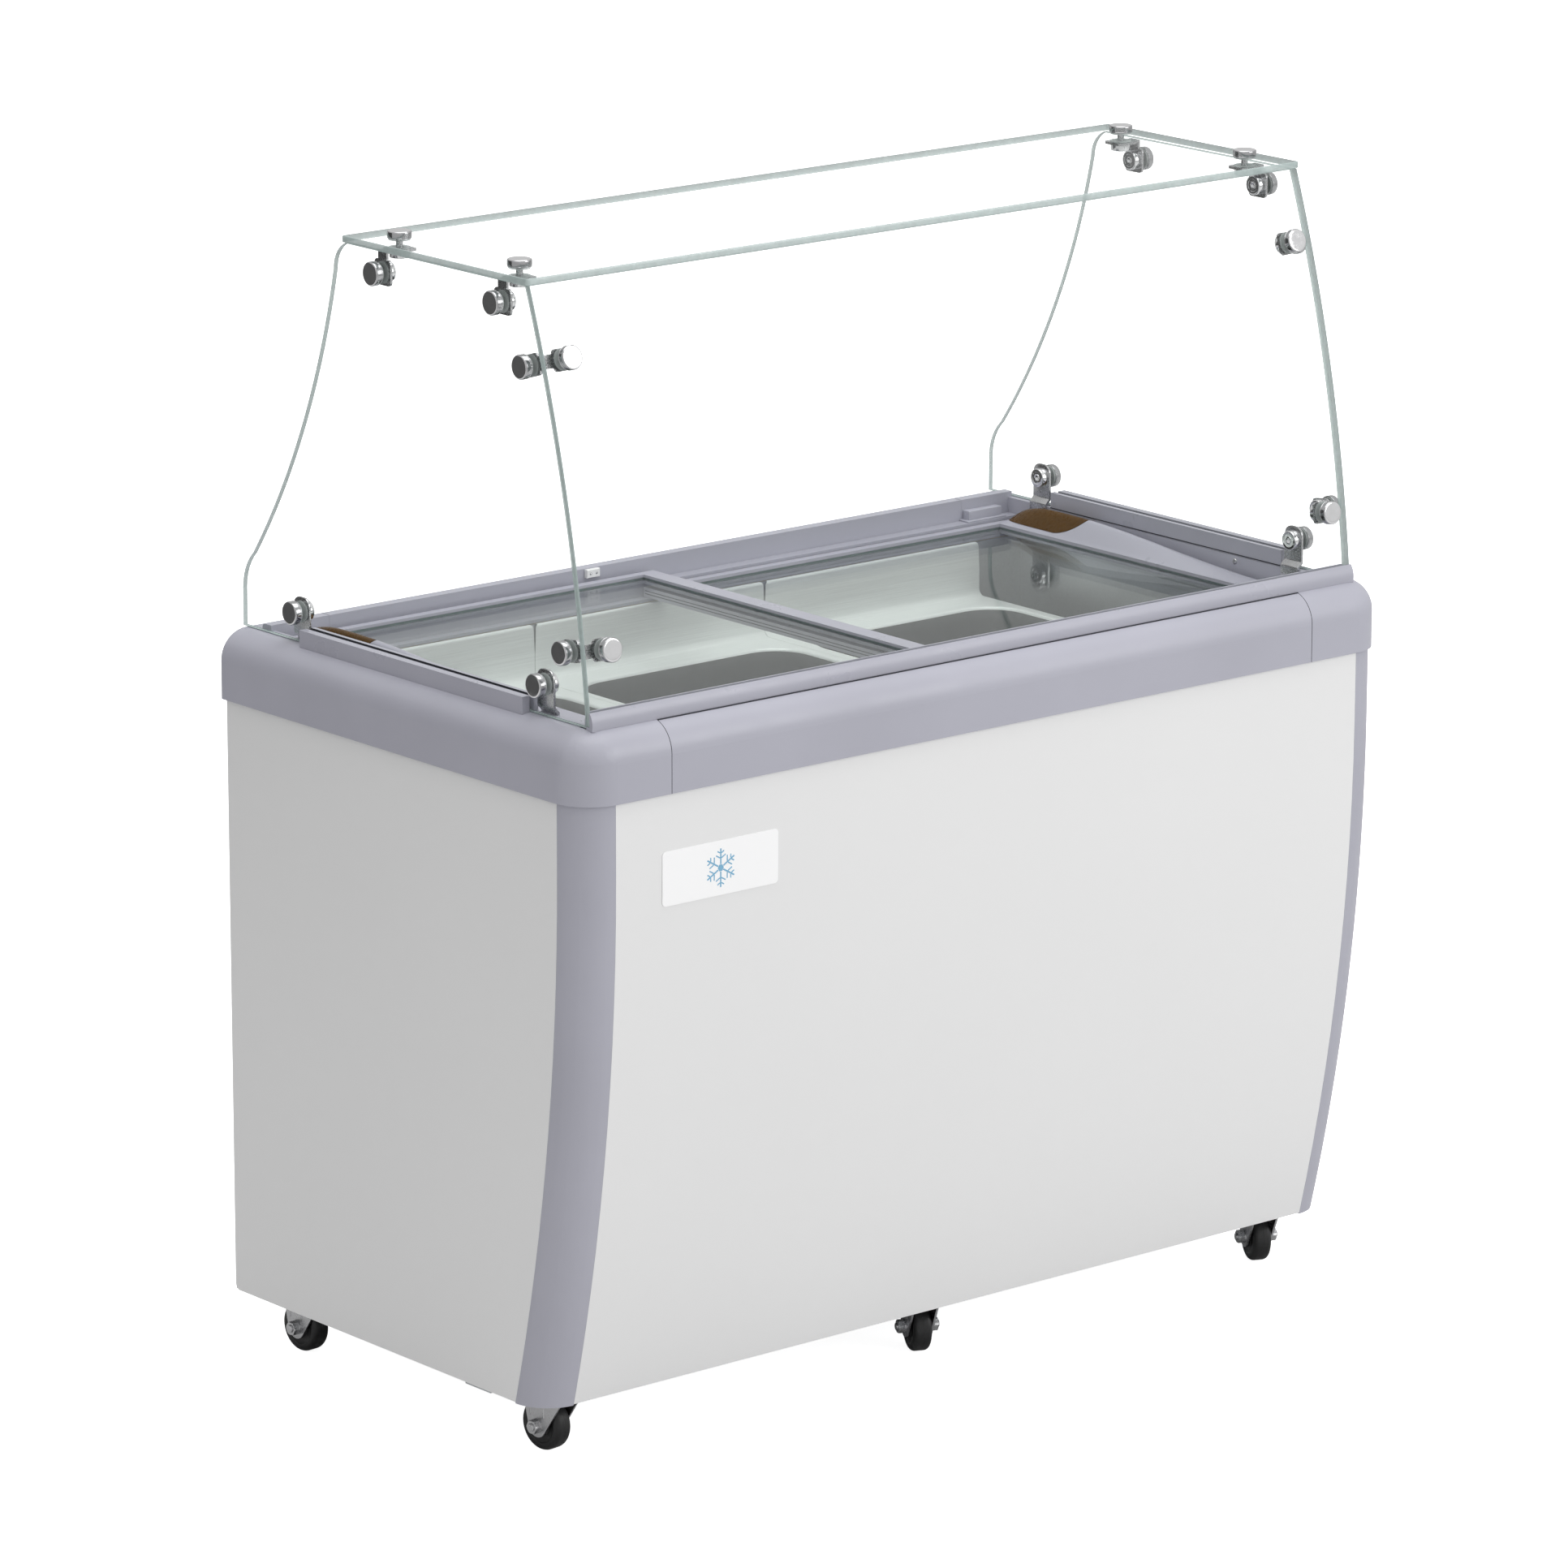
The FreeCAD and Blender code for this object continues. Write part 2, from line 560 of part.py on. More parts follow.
for s in (-1, 1):
    # --- top brackets: L plates, one leg on the end glass, one under the top glass
    for yc in (77.0, -145.0):
        h1, b1, _, _ = clamp((s * EG_X, yc, 1348.0), (s, 0, 0), GL, None)
        h2, b2, _, _ = clamp((s * 555.0, yc, TOP_Z1), (0, 0, 1), TOP_Z1 - TOP_Z0, None)
        zt = TOP_Z0 - WASH_IN
        xa, xb = sorted((s * XIN, s * (XIN - PLATE)))
        O, X, Y, Z = V(0, 0, 0), V(1, 0, 0), V(0, 1, 0), V(0, 0, 1)
        # vertical pad (in the plane x = const): local x -> world y, local y -> world z, local z -> world x
        padv = rounded_pad(O, Y, Z, X, yc, 1348.0, PAD, xa, xb)
        padh = rounded_pad(O, X, Y, Z, s * 555.0, yc, PAD, zt - PLATE, zt)
        neckv = box(xa, yc - NECK, 1355.0, xb, yc + NECK, zt)
        xc, xd = sorted((s * XIN, s * 556.0))
        neckh = box(xc, yc - NECK, zt - PLATE, xd, yc + NECK, zt)
        br = fuse([padv, padh, neckv, neckh]).cut(b1).cut(b2)
        top_brackets.append(br)
        end_holes_l.append((s, h1))
        top_holes.append(h2)
    # --- front corner brackets, square to the front glass
    for zc in (1293.0, 972.0):
        yg = fg_point(zc, 0)
        nn = fg_normal(zc)
        n = V(0, nn[0], nn[1])          # outward normal of the front glass
        t = V(0, -n.z, n.y)             # along the glass, in the Y, Z plane
        P0 = V(0, yg, zc)
        fx = s * 555.0
        h2, b2, p0, p1 = clamp((fx, yg, zc), (n.x, n.y, n.z), GL, None)
        # pad on the end glass, 34 mm in from the front glass's outer face
        pe = P0 - n * 34.0
        h1, b1, _, _ = clamp((s * EG_X, pe.y, pe.z), (s, 0, 0), GL, None)
        X = V(1, 0, 0)
        # local frame (X, t, n') with n' = X x t
        e3 = X.cross(t)
        sgn = 1.0 if e3.dot(n) > 0 else -1.0
        za, zb = sorted((sgn * p0, sgn * p1))
        padf = rounded_pad(P0, X, t, e3, fx, 0.0, 13.0, za, zb, 4.0)
        xa, xb = sorted((s * XIN, s * (XIN - PLATE)))
        # side pad: local x -> t, local y -> e, local z -> X
        e2 = X.cross(t)
        c2 = (pe - P0).dot(e2)
        pads = rounded_pad(P0, t, e2, X, 0.0, c2, 13.0, xa, xb, 4.0)
        # neck: from the side pad to the front pad's plane, then across to the front pad
        lo, hi = sorted((c2, sgn * p0))
        neck1 = local_box(P0, t, e2, X, (-NECK, lo, xa), (NECK, hi, xb))
        xc, xd = sorted((s * XIN, fx))
        neck2 = local_box(P0, X, t, e3, (xc, -NECK, za), (xd, NECK, zb))
        br = fuse([padf, pads, neck1, neck2]).cut(b1).cut(b2)
        corner_brackets.append(br)
        end_holes_l.append((s, h1))
        front_holes.append(h2)
    # --- base posts: straps inside the end glass, screwed to the rim's inner face
    for yc in (241.0, -219.0):
        h1, b1, _, _ = clamp((s * EG_X, yc, 921.0), (s, 0, 0), GL, None)
        xa, xb = s * XIN, s * (XIN - PLATE)
        xin = s * (RIM_INX - 0.1)
        xin2 = s * (RIM_INX - 0.1 - PLATE)
        pts = [(xa, 938.0), (xa, 894.0), (xin, 888.0), (xin, 861.0), (xin2, 861.0), (xin2, 889.5), (xb, 895.5), (xb, 938.0)]
        st = xz_poly(pts, yc - PAD, yc + PAD)
        top_es = [e for e in st.Edges if e.BoundBox.XLength > 2.5 and e.BoundBox.XLength < 3.5 and abs(e.BoundBox.ZMin - 938.0) < 1e-6 and e.BoundBox.YLength < 1e-6]
        st = st.makeFillet(6.0, top_es)
        st = st.cut(b1)
        sh = cyl(2.6, (xin2 - s * 1, yc, 869.0), (s, 0, 0), 6.0)
        st = st.cut(sh)
        posts.append(st)
        head = cyl(4.0, (xin2, yc, 869.0), (-s, 0, 0), 1.4)
        shank = cyl(2.0, (xin2 - s * 0.5, yc, 869.0), (s, 0, 0), 3.4)
        sc = fuse([head, shank])
        slot_a = box(-1, yc - 2.4, 868.6, 1, yc + 2.4, 869.4)
        slot_b = box(-1, yc - 0.4, 866.6, 1, yc + 0.4, 871.4)
        for sl in (slot_a, slot_b):
            sl.translate(V(xin2 - s * 1.9, 0, 0))
            sc = sc.cut(sl)
        post_screws.append(sc)
        end_holes_l.append((s, h1))

el = end_left
er = mirror_x(end_left)
for s, h in end_holes_l:
    if s < 0:
        el = el.cut(h)
    else:
        er = er.cut(h)
fg = front_glass
for h in front_holes:
    fg = fg.cut(h)
tg = top_glass
for h in top_holes:
    tg = tg.cut(h)
save("end_glass_left", [el])
save("end_glass_right", [er])
save("front_glass", [fg])
save("top_glass", [tg])
save("top_brackets", top_brackets)
save("corner_brackets", corner_brackets)
save("base_posts", posts)
save("post_screws", post_screws)
save("clamp_knobs", knobs)
save("clamp_washers", washers)
save("clamp_nuts", nuts)

# ---------------------------------------------------------------- glass channels
# front: bulged extrusion with a slot that follows the glass
P = lambda a, b: V(-FCH_X, a, b)
fch = prism(
    [
        seg(P(-314.0, CH_Z0), P(-314.2, 888.0)),
        arc(P(-314.2, 888.0), P(-313.0, 898.5), P(-309.3, CH_Z1)),
        seg(P(-309.3, CH_Z1), P(-299.0, CH_Z1)),
        arc(P(-299.0, CH_Z1), P(-294.0, 900.0), P(-291.5, 892.0)),
        seg(P(-291.5, 892.0), P(-291.5, CH_Z0)),
        seg(P(-291.5, CH_Z0), P(-314.0, CH_Z0)),
    ],
    V(2 * FCH_X, 0, 0),
)
fch = fch.cut(front_glass_solid(-FCH_X - 1, FCH_X + 1, -0.3, GL + 0.3, FG_A[1] - 0.4, 930.0))
# the end glasses' front feet pass behind the front channel's ends
fch = fch.cut(box(-700, -303.2, CH_Z0 - 1, -EG_X + GL + 0.4, -200, 950))
fch = fch.cut(box(EG_X - GL - 0.4, -303.2, CH_Z0 - 1, 700, -200, 950))
# ends: U channels
x0, x1 = -CH_OUT, -CH_IN
gx0, gx1 = -EG_X - 0.3, -EG_X + GL + 0.3
uch = xz_poly([(x0, CH_Z0), (x0, CH_Z1), (gx0, CH_Z1), (gx0, 886.0), (gx1, 886.0), (gx1, CH_Z1), (x1, CH_Z1), (x1, CH_Z0)], CH_Y0, CH_Y1)
save("glass_channels", [fch, uch, mirror_x(uch)])

# lid stop on the rear lip's inner face
clip = box(-110, 294.8, 881.5, -90, RIM_INY - 0.1, 892.0)
clip = clip.makeFillet(1.2, [e for e in clip.Edges if abs(e.CenterOfMass.y - 294.8) < 1e-6])
for x in (-104.5, -95.5):
    clip = clip.cut(cyl(1.7, (x, 294.0, 886.7), (0, 1, 0), 3.0))
save("lid_stop", [clip])

# plain badge on the front panel, following its face
bx0, bx1, bz0, bz1 = -506.3, -336.5, 672.1, 736.3
badge = front_block(bx0, bx1, -0.9, -330.0, bz0, bz1).cut(front_block(bx0 - 5, bx1 + 5, -0.05, -320.0, bz0 - 5, bz1 + 5))
corners = [
    V(x, 0, z) for x in (bx0, bx1) for z in (bz0, bz1)
]
badge = badge.makeFillet(5.0, [
    e for e in badge.Edges
    if e.Length < 2 and any(abs(e.CenterOfMass.x - c.x) < 1e-3 and abs(e.CenterOfMass.z - c.z) < 1e-3 for c in corners)
])
save("badge", [badge])

# ---------------------------------------------------------------- lids


def lid_frame(x_end, x_meet, s, yh, z0, z1):
    """Rectangular frame. s = -1 for the left lid, +1 for the right one."""
    xa, xb = sorted((x_end, x_meet))
    outer = box(xa, -yh, z0, xb, yh, z1)
    we, wm = END_W, LID_MEET1 - LID_MEET0
    ia, ib = (xa + we, xb - wm) if s < 0 else (xa + wm, xb - we)
    opening = box(ia, -yh + RAIL_W, z0 - 1, ib, yh - RAIL_W, z1 + 1)
    zg = z0 + 4.0
    glass = box(ia - 4, -yh + RAIL_W - 4, zg, ib + 4, yh - RAIL_W + 4, zg + LID_GLASS)
    pocket = box(ia - 4.2, -yh + RAIL_W - 4.2, zg - 0.1, ib + 4.2, yh - RAIL_W + 4.2, zg + LID_GLASS + 0.1)
    return outer.cut(opening).cut(pocket), glass


HANDLE = [  # station y, ridge height above the lid frame
    (-186.0, 1.2), (-150.0, 3.0), (-104.0, 6.5), (-46.0, 11.5), (0.0, 16.0), (43.0, 20.0), (90.0, 23.4),
    (135.0, 25.3), (180.0, 25.8), (215.0, 24.6), (242.0, 19.5), (259.0, 11.5), (268.0, 2.0),
]


def handle_solid(z0):
    """Whale-back pull along the outer end of a lid (right-hand one)."""
    wires = []
    for y, h in HANDLE:
        pts = [
            V(531.0, y, z0 + 0.2),
            V(534.5, y, z0 + 0.2 + 0.14 * h),
            V(543.0, y, z0 + 0.2 + 0.55 * h),
            V(551.5, y, z0 + 0.2 + 0.92 * h),
            V(557.0, y, z0 + 0.2 + 1.00 * h),
            V(562.5, y, z0 + 0.2 + 0.86 * h),
            V(565.5, y, z0 + 0.2 + 0.45 * h),
            V(566.3, y, z0 + 0.2),
        ]
        c = Part.BSplineCurve()
        c.interpolate(pts)
        wires.append(Part.Wire([c.toShape(), seg(pts[-1], pts[0])]))
    return Part.makeLoft(wires, True, False)


def grip_cutter(z0):
    """Region of the handle taken by the grip insert, in Y, Z."""
    P = lambda a, b: V(500.0, a, b)
    z = z0 + 4.5
    es = [
        seg(P(300.0, z), P(172.0, z)),
        arc(P(172.0, z), P(146.0, z0 + 12.0), P(126.0, z0 + 27.5)),
        seg(P(126.0, z0 + 27.5), P(126.0, z0 + 60)),
        seg(P(126.0, z0 + 60), P(300.0, z0 + 60)),
        seg(P(300.0, z0 + 60), P(300.0, z)),
    ]
    return prism(es, V(100.0, 0, 0))


for side, s, yh, z0, z1 in (("left", -1, UP_Y, UP_Z0, UP_Z1), ("right", 1, LO_Y, LO_Z0, LO_Z1)):
    if s < 0:
        fr, gl = lid_frame(-LID_LEN_END, -LID_MEET0, -1, yh, z0, z1)
    else:
        fr, gl = lid_frame(LID_LEN_END, -LID_MEET1, 1, yh, z0, z1)
    h = handle_solid(z1)
    cut = grip_cutter(z1)
    grip = h.common(cut)
    body = h.cut(cut)
    if s < 0:
        grip, body = mirror_x(grip), mirror_x(body)
    save("lid_%s_frame" % side, [fr])
    save("lid_%s_glass" % side, [gl])
    save("lid_%s_handle" % side, [body])
    save("lid_%s_grip" % side, [grip])

# ---------------------------------------------------------------- machine compartment
cx, cy = 430.0, -40.0
zc0 = BODY_Z0 + BASE_T + 2.5
plate = box(cx - 90, cy - 75, zc0 + 12, cx + 90, cy + 75, zc0 + 15)
feet = [cyl(12, (cx + a * 75, cy + b * 60, zc0), (0, 0, 1), 12.0) for a in (-1, 1) for b in (-1, 1)]
shell = cyl(72, (cx, cy, zc0 + 15), (0, 0, 1), 165)
shell = shell.makeFillet(34.0, [e for e in shell.Edges if isinstance(e.Curve, Part.Circle) and e.CenterOfMass.z > zc0 + 100])
band = cyl(75, (cx, cy, zc0 + 95), (0, 0, 1), 6)
save("compressor", [fuse([plate, shell, band] + feet)])

cz = 250.0
core = box(335, 282, cz - 95, 585, 318, cz + 95)
bends = []
for i, zz in enumerate((cz - 60, cz, cz + 60)):
    for xx, ang in ((335.0, -180.0), (585.0, 180.0)):
        ring = Part.Face(Part.Wire(Part.makeCircle(4.0, V(xx, 300, zz + 15), V(1, 0, 0))))
        bends.append(ring.revolve(V(xx, 300, zz), V(0, 1, 0), ang))
save("condenser_coil", [fuse([core] + bends)])

frame = box(365, 246, cz - 95, 555, 276, cz + 95).cut(cyl(86, (460, 240, cz), (0, 1, 0), 40))
motor = cyl(22, (460, 246, cz), (0, 1, 0), 9)
struts = [box(369, 246, cz - 4, 551, 250, cz + 4), box(456, 246, cz - 90, 464, 250, cz + 90)]
spindle = cyl(3.0, (460, 254, cz), (0, 1, 0), 18)
save("fan_frame", [fuse([frame, motor, spindle] + struts)])
hub = cyl(20, (460, 256.5, cz), (0, 1, 0), 15).cut(cyl(3.05, (460, 250, cz), (0, 1, 0), 30))
blades = []
for i in range(5):
    b = box(-14, -1.2, 17, 14, 1.2, 80)
    b.rotate(V(0, 0, 0), V(0, 0, 1), 24)
    b.rotate(V(0, 0, 0), V(0, 1, 0), 72 * i)
    b.translate(V(460, 264, cz))
    blades.append(b)
save("fan_rotor", [fuse([hub] + blades).cut(cyl(3.05, (460, 240, cz), (0, 1, 0), 60))])

# rear grille: louvred plate behind the rear panel's window, with a cup for the thermostat
gy1 = BODY_Y - SHEET - 0.2
gy0 = gy1 - 1.5
grille = box(GR_X0 - 10, gy0, GR_Z0 - 10, GR_X1 + 10, gy1, GR_Z1 + 10)
for i in range(14):
    z = GR_Z0 + 22 + i * 14.0
    for xs in ((334, 456), (466, 588)):
        grille = grille.cut(box(xs[0], gy0 - 1, z, xs[1], gy1 + 1, z + 6))
kx, kz = 540.0, GR_Z1 - 40
cup = cyl(27, (kx, gy0 - 14, kz), (0, 1, 0), 15).cut(cyl(25, (kx, gy0 - 12.5, kz), (0, 1, 0), 30))
grille = grille.cut(cyl(25, (kx, gy0 - 2, kz), (0, 1, 0), 8))
shaft = cyl(3.0, (kx, gy0 - 13, kz), (0, 1, 0), 7)
grille = fuse([grille, cup, shaft])
ix, iz = 350.0, GR_Z1 - 40
grille = grille.cut(cyl(11.05, (ix, gy0 - 5, iz), (0, 1, 0), 12))
save("rear_grille", [grille])
knob = cyl(18, (kx, gy0 - 12.0, kz), (0, 1, 0), 12)
knob = knob.makeFillet(1.5, [e for e in knob.Edges if isinstance(e.Curve, Part.Circle) and e.CenterOfMass.y > gy0 - 5])
for i in range(12):
    a = math.radians(30 * i)
    knob = knob.cut(cyl(1.6, (kx + 18.6 * math.cos(a), gy0 - 13, kz + 18.6 * math.sin(a)), (0, 1, 0), 14))
knob = knob.cut(cyl(3.05, (kx, gy0 - 13, kz), (0, 1, 0), 7.2))
save("thermostat_knob", [knob])
gland = fuse([cyl(11.0, (ix, gy0 - 8, iz), (0, 1, 0), 12), hexagon(26.0, (ix, gy1 + 0.1, iz), (0, 1, 0), 2.6), hexagon(24.0, (ix, gy0 - 5.1, iz), (0, 1, 0), 5.0)])
gland = gland.cut(cyl(4.5, (ix, gy0 - 20, iz), (0, 1, 0), 50))
save("cord_gland", [gland])

# ---------------------------------------------------------------- casters
# name, swivel axis x, y, direction of the trail (degrees from +X)
CASTERS = [
    ("fl", -557.0, -203.0, 96.0),
    ("fm", 0.0, -203.0, 65.0),
    ("fr", 557.0, -203.0, 65.0),
    ("rl", -557.0, 264.0, 94.0),
    ("rm", 0.0, 264.0, 118.0),
    ("rr", 557.0, 264.0, 75.0),
]
PLATE_Z0 = 71.5
plates = []
for name, sx, sy, ang in CASTERS:
    p = rounded_box(sx - 32, sy - 26, PLATE_Z0, sx + 32, sy + 26, BODY_Z0 - 0.1, 4.0)
    pin = cyl(4.0, (sx, sy, 61.4), (0, 0, 1), PLATE_Z0 - 61.4 + 1)
    head = cyl(6.0, (sx, sy, 61.4), (0, 0, 1), 1.8)
    bolts = [hexagon(8.0, (sx + a * 25, sy + b * 19, PLATE_Z0 - 4.0), (0, 0, 1), 4.1) for a in (-1, 1) for b in (-1, 1)]
    race = cyl(17.0, (sx, sy, 70.6), (0, 0, 1), 1.5)
    plates.append(fuse([p, pin, head, race] + bolts))

    # fork, built with the trail along +X, then turned
    wz = WHEEL_R
    hw = WHEEL_W / 2
    za, zb = 63.5, 66.0
    sides = []
    for sgn in (-1, 1):
        y0 = sgn * (hw + 1.5)
        y1 = sgn * (hw + 4.0)
        ya, yb = sorted((y0, y1))
        r = 14.0
        # tangents from the top corners to the bottom circle
        def tangent(px, pz, side):
            dx, dz_ = TRAIL - px, wz - pz
            d = math.hypot(dx, dz_)
            b0 = math.atan2(-dz_, -dx)
            g0 = math.acos(r / d)
            t = b0 + side * g0
            return TRAIL + r * math.cos(t), wz + r * math.sin(t)
        lx, lz = tangent(-24.0, zb, 1)
        rx, rz = tangent(38.0, zb, -1)
        Q = lambda a, b: V(a, ya, b)
        es = [
            seg(Q(-24.0, zb), Q(lx, lz)),
            arc(Q(lx, lz), Q(TRAIL, wz - r), Q(rx, rz)),
            seg(Q(rx, rz), Q(38.0, zb)),
            seg(Q(38.0, zb), Q(-24.0, zb)),
        ]
        sides.append(prism(es, V(0, yb - ya, 0)))
    top = box(-24.0, -hw - 4.0, za, 24.0, hw + 4.0, zb)
    head = cyl(19.0, (0, 0, za), (0, 0, 1), 70.2 - za)
    fork = fuse(sides + [top, head])
    fork = fork.cut(cyl(4.06, (0, 0, 50), (0, 0, 1), 40))
    fork = fork.cut(cyl(3.05, (TRAIL, -40, wz), (0, 1, 0), 80))
    bolt = fuse([
        cyl(3.0, (TRAIL, -hw - 9.0, wz), (0, 1, 0), 2 * hw + 18.0 + 2.0),
        hexagon(10.0, (TRAIL, hw + 4.05, wz), (0, 1, 0), 5.0),
        hexagon(10.0, (TRAIL, -hw - 4.05, wz), (0, -1, 0), 5.0),
    ])
    # wheel: solid of revolution about its axle
    e = 6.0
    k = e * (1 - math.sqrt(0.5))
    W = lambda a, b: V(TRAIL + b, a, wz)
    prof = [
        seg(W(-hw, 3.06), W(-hw, 13.0)),
        seg(W(-hw, 13.0), W(-hw + 1.5, 14.5)),
        seg(W(-hw + 1.5, 14.5), W(-hw + 1.5, 21.0)),
        seg(W(-hw + 1.5, 21.0), W(-hw + 0.5, 22.0)),
        seg(W(-hw + 0.5, 22.0), W(-hw + 0.5, WHEEL_R - e)),
        arc(W(-hw + 0.5, WHEEL_R - e), W(-hw + 0.5 + k, WHEEL_R - k), W(-hw + 0.5 + e, WHEEL_R)),
        seg(W(-hw + 0.5 + e, WHEEL_R), W(hw - 0.5 - e, WHEEL_R)),
        arc(W(hw - 0.5 - e, WHEEL_R), W(hw - 0.5 - k, WHEEL_R - k), W(hw - 0.5, WHEEL_R - e)),
        seg(W(hw - 0.5, WHEEL_R - e), W(hw - 0.5, 22.0)),
        seg(W(hw - 0.5, 22.0), W(hw - 1.5, 21.0)),
        seg(W(hw - 1.5, 21.0), W(hw - 1.5, 14.5)),
        seg(W(hw - 1.5, 14.5), W(hw, 13.0)),
        seg(W(hw, 13.0), W(hw, 3.06)),
        seg(W(hw, 3.06), W(-hw, 3.06)),
    ]
    wheel = Part.Face(Part.Wire(prof)).revolve(V(TRAIL, 0, wz), V(0, 1, 0), 360)
    for shp in (fork, bolt, wheel):
        shp.rotate(V(0, 0, 0), V(0, 0, 1), ang)
        shp.translate(V(sx, sy, 0))
    save("caster_%s_fork" % name, [fork, bolt])
    save("caster_%s_wheel" % name, [wheel])
save("caster_plates", plates)

total = 0
for name, n, v in made:
    total += v
    print("%-22s %2d solids %12.0f mm3" % (name, n, v))
print(len(made), "nodes")
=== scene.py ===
import math
import random

import bmesh
import bpy
from mathutils import Matrix, Vector


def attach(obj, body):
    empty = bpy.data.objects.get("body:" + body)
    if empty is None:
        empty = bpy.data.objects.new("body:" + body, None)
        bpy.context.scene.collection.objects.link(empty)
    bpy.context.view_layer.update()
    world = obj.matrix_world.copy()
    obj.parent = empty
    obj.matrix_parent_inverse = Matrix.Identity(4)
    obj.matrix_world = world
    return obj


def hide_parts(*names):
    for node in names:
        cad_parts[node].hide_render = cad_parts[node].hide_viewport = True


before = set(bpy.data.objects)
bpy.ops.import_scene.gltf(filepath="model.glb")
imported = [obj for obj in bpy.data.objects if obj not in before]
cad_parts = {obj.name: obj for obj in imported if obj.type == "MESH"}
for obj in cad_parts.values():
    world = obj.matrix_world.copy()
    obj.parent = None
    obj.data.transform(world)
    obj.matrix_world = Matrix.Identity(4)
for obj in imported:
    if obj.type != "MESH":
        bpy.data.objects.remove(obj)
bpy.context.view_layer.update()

scene = bpy.context.scene
MM = 0.001
random.seed(7)

# ------------------------------------------------------------------ camera
cam_data = bpy.data.cameras.new("camera")
cam_data.sensor_width = 36.0
cam_data.lens = 185.22
cam_data.clip_start, cam_data.clip_end = 0.1, 200.0
cam = bpy.data.objects.new("camera", cam_data)
scene.collection.objects.link(cam)
fw = Vector((0.62132, 0.74248, -0.25038)).normalized()
right = fw.cross(Vector((0, 0, 1))).normalized()
up = right.cross(fw)
roll = math.radians(0.12)
r2 = right * math.cos(roll) + up * math.sin(roll)
u2 = -right * math.sin(roll) + up * math.cos(roll)
cam.matrix_world = Matrix(
    (
        (r2.x, u2.x, -fw.x, -6.03535),
        (r2.y, u2.y, -fw.y, -7.15766),
        (r2.z, u2.z, -fw.z, 3.08683),
        (0, 0, 0, 1),
    )
)
scene.camera = cam
scene.view_settings.view_transform = "Standard"
scene.view_settings.look = "None"


# ------------------------------------------------------------------ node helpers
def new_mat(name):
    m = bpy.data.materials.new(name)
    m.use_nodes = True
    nt = m.node_tree
    nt.nodes.clear()
    out = nt.nodes.new("ShaderNodeOutputMaterial")
    return m, nt, out


def node(nt, kind, **props):
    n = nt.nodes.new(kind)
    for k, v in props.items():
        setattr(n, k, v)
    return n


def link(nt, a, b):
    nt.links.new(a, b)


def principled(nt, out, **inputs):
    p = node(nt, "ShaderNodeBsdfPrincipled")
    for k, v in inputs.items():
        p.inputs[k.replace("_", " ")].default_value = v
    link(nt, p.outputs[0], out.inputs[0])
    return p


def object_coords(nt, scale=(1, 1, 1)):
    tc = node(nt, "ShaderNodeTexCoord")
    mp = node(nt, "ShaderNodeMapping")
    mp.inputs["Scale"].default_value = scale
    link(nt, tc.outputs["Object"], mp.inputs["Vector"])
    return mp.outputs[0]


def noise(nt, vec, scale, detail=2.0, rough=0.5):
    n = node(nt, "ShaderNodeTexNoise")
    n.inputs["Scale"].default_value = scale
    n.inputs["Detail"].default_value = detail
    n.inputs["Roughness"].default_value = rough
    link(nt, vec, n.inputs["Vector"])
    return n.outputs["Fac"]


def ramp(nt, fac, stops):
    r = node(nt, "ShaderNodeValToRGB")
    e = r.color_ramp.elements
    while len(e) < len(stops):
        e.new(0.5)
    for el, (p, c) in zip(e, stops):
        el.position = p
        el.color = (*c, 1) if len(c) == 3 else c
    link(nt, fac, r.inputs[0])
    return r.outputs[0]


def remap(nt, fac, lo, hi, a=0.0, b=1.0):
    m = node(nt, "ShaderNodeMapRange")
    m.inputs[1].default_value, m.inputs[2].default_value = a, b
    m.inputs[3].default_value, m.inputs[4].default_value = lo, hi
    link(nt, fac, m.inputs[0])
    return m.outputs[0]


def math_node(nt, op, a, b=None):
    m = node(nt, "ShaderNodeMath", operation=op)
    for i, v in enumerate((a, b)):
        if v is None:
            continue
        if isinstance(v, (int, float)):
            m.inputs[i].default_value = v
        else:
            link(nt, v, m.inputs[i])
    return m.outputs[0]


def bump(nt, height, strength, distance, normal=None):
    b = node(nt, "ShaderNodeBump")
    b.inputs["Strength"].default_value = strength
    b.inputs["Distance"].default_value = distance
    link(nt, height, b.inputs["Height"])
    if normal is not None:
        link(nt, normal, b.inputs["Normal"])
    return b.outputs[0]


def mix_rgb(nt, fac, a, b, blend="MIX"):
    m = node(nt, "ShaderNodeMix", data_type="RGBA", blend_type=blend)
    for i, v in ((0, fac), (6, a), (7, b)):
        if isinstance(v, (int, float)):
            m.inputs[i].default_value = v
        elif isinstance(v, tuple):
            m.inputs[i].default_value = (*v, 1) if len(v) == 3 else v
        else:
            link(nt, v, m.inputs[i])
    return m.outputs[2]


def lin(r, g, b):
    f = lambda c: c / 12.92 if c <= 0.04045 else ((c + 0.055) / 1.055) ** 2.4
    return tuple(f(x / 255.0) for x in (r, g, b))


